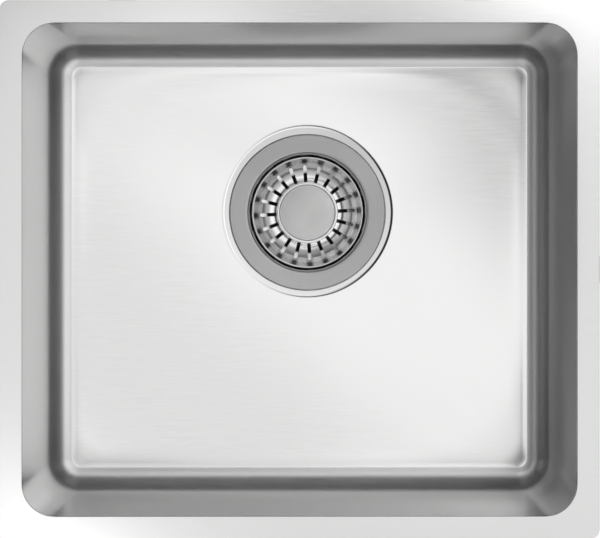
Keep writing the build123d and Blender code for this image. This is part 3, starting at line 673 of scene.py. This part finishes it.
place_in_outlet(bm)
make_piece("drawn_cup", bm, waste_steel, "sink", ["waste_cup"], bevel=0.15, wall=CUP_SHEET)

# The strainer basket is pressed from 0.8 mm stainless sheet and polished: a
# rolled rim, a slope and a trough with twenty slots punched through both,
# and a raised middle with a shallow recess for the cap.
BASKET_SHEET, BASKET_BORE_R, CAP_RECESS_R, BOSS_R = 0.8, 4.06, 20.5, 22.7
CAP_RECESS, BOSS_TOP, TROUGH_FLOOR, RIM_FOOT = -16.0, -14.5, -20.0, -4.9
TROUGH_R, SLOPE_R, SLOPE_LEVEL, KNEE_R, KNEE_LEVEL = 26.0, 33.4, -16.6, 36.8, -12.5
RIM_FOOT_R, RIM_CENTRE, RIM_ROLL_R = 39.25, (40.0, -4.8), 0.78
SLOT_COUNT, SLOT_HALF_WIDTH, SLOT_INNER_R, SLOT_OUTER_R = 20, 1.3, 23.0, 35.0
SLOT_FIRST_ANGLE, SLOT_STEPS, LAND_COLUMNS = 3.0, 10, 4
SLOT_COLUMNS = (-1.0, -0.7071, 0.0, 0.7071, 1.0)
# Nearer to the bore than this, the columns keep their angles.
COLUMN_LEAST_R = 6.0
basket_profile = bent([
    (BASKET_BORE_R, CAP_RECESS, 0), (CAP_RECESS_R, CAP_RECESS, 0.6),
    (CAP_RECESS_R, BOSS_TOP, 0.4), (BOSS_R, BOSS_TOP, 1.0),
    (BOSS_R, TROUGH_FLOOR, 0.9), (TROUGH_R, TROUGH_FLOOR, 9.0),
    (SLOPE_R, SLOPE_LEVEL, 9.0), (KNEE_R, KNEE_LEVEL, 7.0), (RIM_FOOT_R, RIM_FOOT, 0),
])
basket_profile += arc(RIM_CENTRE, RIM_ROLL_R, 180, -95, 9)


def basket_height(radius):
    """The basket's level at a radius outside its raised middle."""
    outside = [p for p in basket_profile if p[1] < RIM_FOOT and p[0] > SLOT_INNER_R - 0.1]
    for (r0, z0), (r1, z1) in zip(outside, outside[1:]):
        if r0 <= radius <= r1:
            return z0 + (z1 - z0) * (radius - r0) / (r1 - r0)
    return outside[0][1] if radius < outside[0][0] else outside[-1][1]


# The profile's own points between the slots' ends give way to even rows.
slot_run = (SLOT_OUTER_R - SLOT_INNER_R - 2 * SLOT_HALF_WIDTH) / SLOT_STEPS
slot_rows = [SLOT_INNER_R + SLOT_HALF_WIDTH + slot_run * step for step in range(SLOT_STEPS + 1)]
inner_rows = [p for p in basket_profile if p[0] < SLOT_INNER_R - 0.05]
outer_rows = [p for p in basket_profile if p[0] > SLOT_OUTER_R + 0.4]
rows = inner_rows + [(r, basket_height(r)) for r in slot_rows] + outer_rows
per_slot = len(SLOT_COLUMNS) + LAND_COLUMNS - 1
slot_turn = 2 * math.pi / SLOT_COUNT
bm = bmesh.new()
made = bmesh.ops.create_circle(bm, segments=SLOT_COUNT * per_slot, radius=1.0)
ring_verts = sorted(made["verts"], key=lambda v: math.atan2(v.co.y, v.co.x) % (2 * math.pi))
order = {vert: index for index, vert in enumerate(ring_verts)}
edges = list(bm.edges)
for number, (radius, level) in enumerate(rows):
    if number:
        edges, fresh = extruded(bm, edges)
        order = handed_on(fresh, order)
    for vert, index in order.items():
        slot, column = divmod(index, per_slot)
        first = math.radians(SLOT_FIRST_ANGLE + slot * 360 / SLOT_COUNT)
        reach = radius
        if column < len(SLOT_COLUMNS):
            offset = SLOT_COLUMNS[column] * SLOT_HALF_WIDTH
            turn = math.asin(offset / max(radius, COLUMN_LEAST_R))
            round_end = math.sqrt(max(0.0, SLOT_HALF_WIDTH ** 2 - offset ** 2))
            if radius == slot_rows[0]:
                reach -= round_end
            elif radius == slot_rows[-1]:
                reach += round_end
        else:
            edge_turn = math.asin(SLOT_HALF_WIDTH / max(radius, COLUMN_LEAST_R))
            land = (column - len(SLOT_COLUMNS) + 1) / LAND_COLUMNS
            turn = edge_turn + land * (math.radians(360 / SLOT_COUNT) - 2 * edge_turn)
        vert.co = (reach * math.cos(first + turn), reach * math.sin(first + turn), level)
        if reach != radius:
            vert.co.z = basket_height(reach)
punched = []
for face in bm.faces:
    spans = [v.co.xy.length for v in face.verts]
    if min(spans) < SLOT_INNER_R - 0.2 or max(spans) > SLOT_OUTER_R + 0.2:
        continue
    middle = face.calc_center_median()
    angle = math.atan2(middle.y, middle.x) - math.radians(SLOT_FIRST_ANGLE)
    angle = (angle + slot_turn / 2) % slot_turn - slot_turn / 2
    if abs(math.sin(angle)) * middle.xy.length < SLOT_HALF_WIDTH * 0.95:
        punched.append(face)
bmesh.ops.delete(bm, geom=punched, context="FACES")
bmesh.ops.recalc_face_normals(bm, faces=bm.faces)
if min(bm.faces, key=lambda face: face.calc_center_median().xy.length).normal.z < 0:
    bmesh.ops.reverse_faces(bm, faces=bm.faces)
place_in_outlet(bm)
basket_steel = turned_steel("basket_steel", (0.90, 0.90, 0.90), 0.24, 0.3, 0.06, 0.6)
make_piece(
    "slotted_basket", bm, basket_steel, "basket", ["basket_shell"],
    bevel=0.12, wall=BASKET_SHEET,
)

# The centre cap is a turned stainless disc with a slightly crowned, spun
# face. It is pressed on the pin's top, and the basket is lifted by it.
CAP_R, CAP_BACK, CAP_EDGE, CAP_CROWN = 19.5, -15.7, -13.4, -12.8
CAP_SHOULDER_R, CAP_SHOULDER = 12.0, -13.05
cap_steel = turned_steel("cap_steel", (0.84, 0.84, 0.835), 0.38, 0.93, 0.08, 0.3)
bm = turned(bent([
    (0, CAP_BACK, 0), (CAP_R, CAP_BACK, 0.2), (CAP_R, CAP_EDGE, 0.5),
    (CAP_SHOULDER_R, CAP_SHOULDER, 6.0), (0, CAP_CROWN, 0),
]))
place_in_outlet(bm)
make_piece("spun_cap", bm, cap_steel, "stopper", ["centre_cap"])

# Under the cap a stainless pin carries the basket, which turns on it. The pin
# is turned from bar and moulded into the carrier below.
STEM_R, STEM_FOOT = 4.0, -31.0
bm = turned([(0, STEM_FOOT), (STEM_R, STEM_FOOT), (STEM_R, CAP_BACK), (0, CAP_BACK)], steps=48)
place_in_outlet(bm)
make_piece("basket_pin", bm, basket_steel, "stopper", ["stem"])

# The carrier is a black moulding round the pin: a hub that the basket rests
# on, a disc that backs the rubber stopper, and a neck for the stopper's bore.
HUB_R, HUB_TOP, DISC_R, DISC_TOP, DISC_FOOT, NECK_R = 10.0, -16.8, 24.0, -24.0, -26.0, 7.0
carrier_plastic = moulded("carrier_plastic", (0.040, 0.040, 0.042), 0.42, 0.10, 1200.0, 0.05)
bm = turned(bent([
    (STEM_R, HUB_TOP, 0), (HUB_R, HUB_TOP, 0.5), (HUB_R, DISC_TOP, 1.0), (DISC_R, DISC_TOP, 0.5),
    (DISC_R, DISC_FOOT, 0.3), (NECK_R, DISC_FOOT, 0.2), (NECK_R, STEM_FOOT, 0.3), (STEM_R, STEM_FOOT, 0),
]))
place_in_outlet(bm)
make_piece("seal_disc", bm, carrier_plastic, "stopper", ["seal_carrier"])

# The stopper is a moulded rubber disc with a sloping lip, which closes on the
# cup's slope. It is stretched over the carrier's neck.
RUBBER_FOOT, RUBBER_BODY_R, RUBBER_SHOULDER_R = -28.5, 23.0, 24.6
LIP_R, LIP_TOP, LIP_FOOT = 29.0, -28.4, -30.0
stopper_rubber = moulded("stopper_rubber", (0.022, 0.022, 0.023), 0.45, 0.10, 1500.0, 0.06)
bm = turned(bent([
    (NECK_R, DISC_FOOT, 0), (RUBBER_SHOULDER_R, DISC_FOOT, 0.6), (LIP_R, LIP_TOP, 0.3),
    (LIP_R, LIP_FOOT, 0.4), (RUBBER_BODY_R, RUBBER_FOOT, 0.6), (NECK_R, RUBBER_FOOT, 0),
]))
place_in_outlet(bm)
make_piece("stopper_disc", bm, stopper_rubber, "stopper", ["stopper_seal"])

# The washer is pressed from stainless sheet. It sits on the carrier's neck
# and keeps the rubber stopper against the disc.
WASHER_R, WASHER_FOOT = 18.0, -29.5
bm = turned(bent([
    (NECK_R, WASHER_FOOT, 0.1), (WASHER_R, WASHER_FOOT, 0.3),
    (WASHER_R, RUBBER_FOOT, 0.3), (NECK_R, RUBBER_FOOT, 0.1),
]))
place_in_outlet(bm)
make_piece("seal_washer", bm, basket_steel, "stopper", ["seal_retainer"])

# The collet is a black moulding on the end of the neck. Its four springy
# fingers, each with a small lip, snap over the ball of the clamp screw.
COLLET_R, COLLET_FOOT, FINGER_R, FINGER_BORE_R, LIP_BORE_R = 10.0, -32.5, 6.8, 4.8, 4.0
FINGER_ROOT, FINGER_FOOT, SLIT_HALF_WIDTH, FINGER_CHAMFER = -34.0, -38.5, 0.6, 0.3
bm = turned(bent([
    (NECK_R, WASHER_FOOT, 0), (COLLET_R, WASHER_FOOT, 0.4), (COLLET_R, COLLET_FOOT, 0.4),
    (FINGER_R, COLLET_FOOT, 0), (FINGER_R, FINGER_ROOT, 0), (FINGER_BORE_R, FINGER_ROOT, 0),
    (FINGER_BORE_R, STEM_FOOT, 0), (NECK_R, STEM_FOOT, 0),
]), steps=64)
finger_outline = [
    (FINGER_R, FINGER_ROOT + 0.1), (FINGER_R, FINGER_FOOT + FINGER_CHAMFER),
    (FINGER_R - FINGER_CHAMFER, FINGER_FOOT), (LIP_BORE_R + 0.2, FINGER_FOOT),
    (LIP_BORE_R, FINGER_FOOT + 0.2), (LIP_BORE_R, FINGER_FOOT + 1.0),
    (FINGER_BORE_R, FINGER_FOOT + 1.8), (FINGER_BORE_R, FINGER_ROOT + 0.1),
]
finger_turn = math.radians(90) - 2 * math.asin(SLIT_HALF_WIDTH * 2 / (FINGER_R + FINGER_BORE_R))
for quadrant in range(4):
    first = math.radians(90 * quadrant + 45) - finger_turn / 2
    verts = [bm.verts.new((r * math.cos(first), r * math.sin(first), z)) for r, z in finger_outline]
    edges = [bm.edges.new(pair) for pair in zip(verts, verts[1:] + verts[:1])]
    bmesh.ops.spin(
        bm, geom=verts + edges, cent=(0, 0, 0), axis=(0, 0, 1), angle=finger_turn, steps=14
    )
    bm.faces.new(verts)
    bmesh.ops.holes_fill(bm, edges=[e for e in bm.edges if e.is_boundary], sides=12)
bmesh.ops.recalc_face_normals(bm, faces=bm.faces)
place_in_outlet(bm)
make_piece("split_collet", bm, carrier_plastic, "stopper", ["collet"], bevel=0.1)

# The housing under the bowl is moulded in black polypropylene: a flange that
# presses on the gasket, a funnel, and eight gussets between the two.
HOUSING_BORE_R, HOUSING_R, HOUSING_FLANGE_R = 44.0, 46.5, 52.5
HOUSING_FLANGE_FOOT, THROAT_LEVEL = -9.0, -45.0
FUNNEL_TOP, FUNNEL_OUTER_TOP, THROAT_R, THROAT_OUTER_R = -30.0, -31.0, 28.0, 31.6
GUSSET_COUNT, GUSSET_WIDTH = 8, 2.5
GUSSET_OUTLINE = ((45.3, -7.5), (51.3, HOUSING_FLANGE_FOOT), (45.3, -25.0))


def add_web(bm, outline, width, turn):
    """Adds a flat web of an (r, z) outline, turned round the axis by an angle in degrees."""
    verts = [bm.verts.new((r, -width / 2, z)) for r, z in outline]
    made = bmesh.ops.extrude_face_region(bm, geom=[bm.faces.new(verts)])
    far_side = verts_of(made["geom"])
    bmesh.ops.translate(bm, verts=far_side, vec=(0, width, 0))
    matrix = Matrix.Rotation(math.radians(turn), 3, "Z")
    bmesh.ops.rotate(bm, verts=verts + far_side, cent=(0, 0, 0), matrix=matrix)


housing_plastic = moulded("housing_plastic", (0.058, 0.058, 0.062), 0.46, 0.10, 800.0, 0.08)
bm = turned(bent([
    (HOUSING_BORE_R, GASKET_FOOT, 0.3), (HOUSING_BORE_R, FUNNEL_TOP, 2.5),
    (THROAT_R, THROAT_LEVEL, 0), (THROAT_OUTER_R, THROAT_LEVEL, 0),
    (HOUSING_R, FUNNEL_OUTER_TOP, 3.0), (HOUSING_R, HOUSING_FLANGE_FOOT, 0.8),
    (HOUSING_FLANGE_R, HOUSING_FLANGE_FOOT, 0.6), (HOUSING_FLANGE_R, GASKET_FOOT, 0.4),
]))
for step in range(GUSSET_COUNT):
    add_web(bm, GUSSET_OUTLINE, GUSSET_WIDTH, (step + 0.5) * 360 / GUSSET_COUNT)
bmesh.ops.recalc_face_normals(bm, faces=bm.faces)
place_in_outlet(bm)
make_piece("moulded_housing", bm, housing_plastic, "sink", ["waste_housing"], bevel=0.25)

# The spigot is the lower end of the same moulding. It narrows to the bore of
# the pipe, and carries an inch-and-a-half pipe thread for the trap's nut.
SPIGOT_R, SPIGOT_ROOT_R, SPIGOT_BORE_R = 23.9, 22.45, 20.4
SPIGOT_NECK, COLLAR_LEVEL, THREAD_TOP, SPIGOT_END = -51.0, -51.6, -54.2, -76.0
SHOULDER_R, SHOULDER_LEVEL = 29.6, -46.9
THREAD_PITCH, THREAD_TURNS, THREAD_START = 2.309, 8, -74.3
# The ridge bites into the core, and its root and crest are shares of the pitch.
RIDGE_BITE, HALF_ROOT, HALF_CREST = 0.1, 0.44, 0.08


def thread(bm, root_r, crest_r, pitch, turns, bottom, steps):
    """Adds a screw thread's ridge, wound upwards round the Z axis."""
    ridge_outline = [
        (root_r - RIDGE_BITE, -HALF_ROOT * pitch), (crest_r, -HALF_CREST * pitch),
        (crest_r, HALF_CREST * pitch), (root_r - RIDGE_BITE, HALF_ROOT * pitch),
    ]
    verts = [bm.verts.new((r, 0, bottom + z)) for r, z in ridge_outline]
    edges = [bm.edges.new(pair) for pair in zip(verts, verts[1:] + verts[:1])]
    bmesh.ops.spin(
        bm,
        geom=verts + edges,
        cent=(0, 0, 0),
        axis=(0, 0, 1),
        dvec=(0, 0, pitch / steps),
        angle=math.radians(360 * turns),
        steps=steps * turns,
    )
    bmesh.ops.holes_fill(bm, edges=[e for e in bm.edges if e.is_boundary], sides=4)


bm = turned(bent([
    (THROAT_R, THROAT_LEVEL, 0), (SPIGOT_BORE_R, SPIGOT_NECK, 1.5), (SPIGOT_BORE_R, SPIGOT_END, 0.6),
    (SPIGOT_ROOT_R, SPIGOT_END, 0.5), (SPIGOT_ROOT_R, THREAD_TOP, 0.3), (SPIGOT_R, THREAD_TOP, 0.3),
    (SPIGOT_R, COLLAR_LEVEL, 0.8), (SHOULDER_R, SHOULDER_LEVEL, 0), (THROAT_OUTER_R, THROAT_LEVEL, 0),
]))
thread(bm, SPIGOT_ROOT_R, SPIGOT_R, THREAD_PITCH, THREAD_TURNS, THREAD_START, 48)
bmesh.ops.recalc_face_normals(bm, faces=bm.faces)
place_in_outlet(bm)
make_piece("threaded_spigot", bm, housing_plastic, "sink", ["outlet_spigot"])

# The bridge is moulded with the housing too: a hub with a pocket for the nut,
# held in the middle of the throat by four spokes that the water runs between.
BRIDGE_HUB_R, BRIDGE_TOP, BRIDGE_FOOT, BRIDGE_SPOKE_WIDTH = 9.0, -41.0, -53.0, 3.0
NUT_POCKET_R, NUT_SEAT = 5.75, -48.0
BRIDGE_SPOKE_OUTLINE = (
    (8.0, -43.0), (30.0, -43.0), (27.9, THROAT_LEVEL),
    (20.35, -50.9), (20.35, BRIDGE_FOOT), (8.0, BRIDGE_FOOT),
)
bm = turned(bent([
    (CLAMP_HOLE_R, BRIDGE_TOP, 0), (BRIDGE_HUB_R, BRIDGE_TOP, 0.5), (BRIDGE_HUB_R, BRIDGE_FOOT, 0.5),
    (NUT_POCKET_R, BRIDGE_FOOT, 0), (NUT_POCKET_R, NUT_SEAT, 0), (CLAMP_HOLE_R, NUT_SEAT, 0),
]), steps=48)
for step in range(4):
    add_web(bm, BRIDGE_SPOKE_OUTLINE, BRIDGE_SPOKE_WIDTH, 45 + step * 90)
bmesh.ops.recalc_face_normals(bm, faces=bm.faces)
place_in_outlet(bm)
make_piece("nut_bridge", bm, housing_plastic, "sink", ["clamp_bridge"], bevel=0.25)

# The nut is a plain M6 hexagon of machined brass, pressed into the bridge's
# pocket. The part's own solid is shown, with the finish of cut brass.
nut_brass = moulded("nut_brass", (0.74, 0.56, 0.27), 0.34, 0.08, 900.0, 0.02, metallic=1.0)
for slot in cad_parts["clamp_nut"].material_slots:
    slot.material = nut_brass

# The clamp screw is turned from stainless bar. It draws the cup down on its
# seal, and its round head, with a slot for a screwdriver, is the catch that
# the collet snaps over.
CLAMP_SCREW_R, CLAMP_SCREW_END, CLAMP_SCREW_POINT = 3.0, -54.0, 0.4
CLAMP_COLLAR_R, CLAMP_COLLAR_TOP, BALL_NECK_R = 6.0, -39.0, 2.4
BALL_R, BALL_CENTRE, BALL_NECK_ANGLE = 3.5, -35.5, -46.7
DRIVER_SLOT_HALF_WIDTH, DRIVER_SLOT_FLOOR = 0.6, -33.5
ball = arc((0.0, BALL_CENTRE), BALL_R, BALL_NECK_ANGLE, 90, 12)
collar = bent([
    (CLAMP_SCREW_R, CUP_FLOOR, 0), (CLAMP_COLLAR_R, CUP_FLOOR, 0.2),
    (CLAMP_COLLAR_R, CLAMP_COLLAR_TOP, 0.2), (BALL_NECK_R, CLAMP_COLLAR_TOP, 0),
])
bm = turned([
    (0, CLAMP_SCREW_END), (CLAMP_SCREW_R - CLAMP_SCREW_POINT, CLAMP_SCREW_END),
    (CLAMP_SCREW_R, CLAMP_SCREW_END + CLAMP_SCREW_POINT),
] + collar + ball[:-1] + [(0, BALL_CENTRE + BALL_R)], steps=48)
for cut_place, cut_way in (
    ((0, -DRIVER_SLOT_HALF_WIDTH, 0), (0, 1, 0)),
    ((0, DRIVER_SLOT_HALF_WIDTH, 0), (0, 1, 0)),
    ((0, 0, DRIVER_SLOT_FLOOR), (0, 0, 1)),
):
    everything = list(bm.verts) + list(bm.edges) + list(bm.faces)
    bmesh.ops.bisect_plane(bm, geom=everything, dist=0.0001, plane_co=cut_place, plane_no=cut_way)
strip_faces = []
for face in bm.faces:
    middle = face.calc_center_median()
    if middle.z > DRIVER_SLOT_FLOOR and abs(middle.y) < DRIVER_SLOT_HALF_WIDTH:
        strip_faces.append(face)
made = bmesh.ops.extrude_face_region(bm, geom=strip_faces)
bmesh.ops.delete(bm, geom=strip_faces, context="FACES")
for vert in verts_of(made["geom"]):
    vert.co.z = DRIVER_SLOT_FLOOR
bmesh.ops.remove_doubles(bm, verts=bm.verts, dist=0.001)
bmesh.ops.recalc_face_normals(bm, faces=bm.faces)
place_in_outlet(bm)
make_piece("ball_screw", bm, waste_steel, "sink", ["clamp_screw"], bevel=0.08)

# Six clips of zinc plated strip hold the flange up against the worktop. Each
# toe lies under the flange and the heel bears on the worktop, with a slot for
# the screw to slide in while the sink is set straight.
CLIP_SHEET, CLIP_SLOT_R, CLIP_SLOT_ENDS, CLIP_FROM_MIDDLE = 1.5, 3.3, (8.3, 12.7), 115
CLIP_LINE = [
    (-9.0, -1.0), (-1.4, -1.0), (-0.7, -1.15), (-0.1, -1.55), (3.3, -4.4), (4.0, -4.85), (4.7, -5.0),
    (CLIP_SLOT_ENDS[0], -5.0), (10.5, -5.0), (CLIP_SLOT_ENDS[1], -5.0), (16.4, -5.0),
] + arc((16.4, -2.9), 2.1, -90, 0, 5)[1:] + [(18.5, 0.0)]
CLIP_COLUMNS = (-9.0, -CLIP_SLOT_R, -3.05, -2.33, -1.26, 0.0, 1.26, 2.33, 3.05, CLIP_SLOT_R, 9.0)
zinc_plate = moulded("zinc_plate", (0.66, 0.67, 0.70), 0.36, 0.07, 700.0, 0.02, metallic=1.0)
flange_x = HALF_LENGTH + FLANGE_WIDTH
flange_y = HALF_WIDTH + FLANGE_WIDTH
clip_places = {
    "right": (flange_x, 0, 0),
    "rear_right": (CLIP_FROM_MIDDLE, flange_y, 90),
    "rear_left": (-CLIP_FROM_MIDDLE, flange_y, 90),
    "left": (-flange_x, 0, 180),
    "front_left": (-CLIP_FROM_MIDDLE, -flange_y, 270),
    "front_right": (CLIP_FROM_MIDDLE, -flange_y, 270),
}
for name, (place_x, place_y, turn) in clip_places.items():
    bm = bmesh.new()
    first_x, first_z = CLIP_LINE[0]
    verts = [bm.verts.new((first_x, y, first_z)) for y in CLIP_COLUMNS]
    edges = [bm.edges.new(pair) for pair in zip(verts, verts[1:])]
    for x, z in CLIP_LINE[1:]:
        edges, fresh = extruded(bm, edges)
        for vert in fresh:
            vert.co.x, vert.co.z = x, z
    slot_faces = []
    for face in bm.faces:
        middle = face.calc_center_median()
        if CLIP_SLOT_ENDS[0] < middle.x < CLIP_SLOT_ENDS[1] and abs(middle.y) < CLIP_SLOT_R:
            slot_faces.append(face)
    bmesh.ops.delete(bm, geom=slot_faces, context="FACES")
    for vert in bm.verts:
        for end, way in zip(CLIP_SLOT_ENDS, (-1, 1)):
            if abs(vert.co.x - end) < 0.01 and abs(vert.co.y) < CLIP_SLOT_R:
                vert.co.x += way * math.sqrt(CLIP_SLOT_R ** 2 - vert.co.y ** 2)
    bmesh.ops.recalc_face_normals(bm, faces=bm.faces)
    if bm.faces[:][0].normal.z < 0:
        bmesh.ops.reverse_faces(bm, faces=bm.faces)
    matrix = Matrix.Rotation(math.radians(turn), 3, "Z")
    bmesh.ops.rotate(bm, verts=bm.verts, cent=(0, 0, 0), matrix=matrix)
    bmesh.ops.translate(bm, verts=bm.verts, vec=(place_x, place_y, 0))
    make_piece(
        "strip_clip_" + name, bm, zinc_plate, "sink", ["clip_" + name],
        bevel=0.2, wall=CLIP_SHEET,
    )

# Each clip has a zinc plated M6 hexagon screw, with a thinner plain shank so
# that it stays in its clip. The thread stands 12 mm above the worktop face,
# where it goes into an insert in the worktop.
SCREW_OFFSET, SCREW_R, SCREW_CORE_R, SHANK_R, SCREW_END = 10.5, 3.0, 2.45, 2.65, 12.0
SCREW_PITCH, SCREW_TURNS, SCREW_THREAD_START, SHANK_END, SCREW_POINT = 1.0, 12, -1.2, -2.0, 0.6
HEAD_CORNER_R, HEAD_TOP, HEAD_HEIGHT, HEAD_INSET, HEAD_CHAMFER = 5.77, -6.5, 4.0, 0.7, 0.4
all_screws = bmesh.new()
for place_x, place_y, turn in clip_places.values():
    bm = turned([
        (0, HEAD_TOP), (SHANK_R, HEAD_TOP),
        (SHANK_R, SHANK_END), (SCREW_CORE_R, SHANK_END + SHANK_R - SCREW_CORE_R),
        (SCREW_CORE_R, SCREW_END - SCREW_POINT), (SCREW_CORE_R - SCREW_POINT, SCREW_END), (0, SCREW_END),
    ], steps=24)
    thread(bm, SCREW_CORE_R, SCREW_R, SCREW_PITCH, SCREW_TURNS, SCREW_THREAD_START, 20)
    head = bmesh.ops.create_circle(bm, cap_ends=True, segments=6, radius=HEAD_CORNER_R)["verts"]
    bmesh.ops.rotate(bm, verts=head, cent=(0, 0, 0), matrix=Matrix.Rotation(math.radians(90), 3, "Z"))
    bmesh.ops.translate(bm, verts=head, vec=(0, 0, HEAD_TOP))
    made = bmesh.ops.extrude_face_region(bm, geom=list(head[0].link_faces))
    low = verts_of(made["geom"])
    bmesh.ops.translate(bm, verts=low, vec=(0, 0, -HEAD_HEIGHT))
    low_faces = [g for g in made["geom"] if isinstance(g, bmesh.types.BMFace)]
    bmesh.ops.inset_individual(bm, faces=low_faces, thickness=HEAD_INSET, depth=0)
    bmesh.ops.translate(bm, verts=low, vec=(0, 0, HEAD_CHAMFER))
    bmesh.ops.recalc_face_normals(bm, faces=bm.faces)
    matrix = Matrix.Rotation(math.radians(turn), 3, "Z")
    bmesh.ops.rotate(bm, verts=bm.verts, cent=(0, 0, 0), matrix=matrix)
    offset = matrix @ Vector((SCREW_OFFSET, 0, 0))
    bmesh.ops.translate(bm, verts=bm.verts, vec=offset + Vector((place_x, place_y, 0)))
    one_screw = bpy.data.meshes.new("one_screw")
    bm.to_mesh(one_screw)
    bm.free()
    all_screws.from_mesh(one_screw)
    bpy.data.meshes.remove(one_screw)
make_piece("hexagon_screws", all_screws, zinc_plate, "sink", ["clip_screws"])
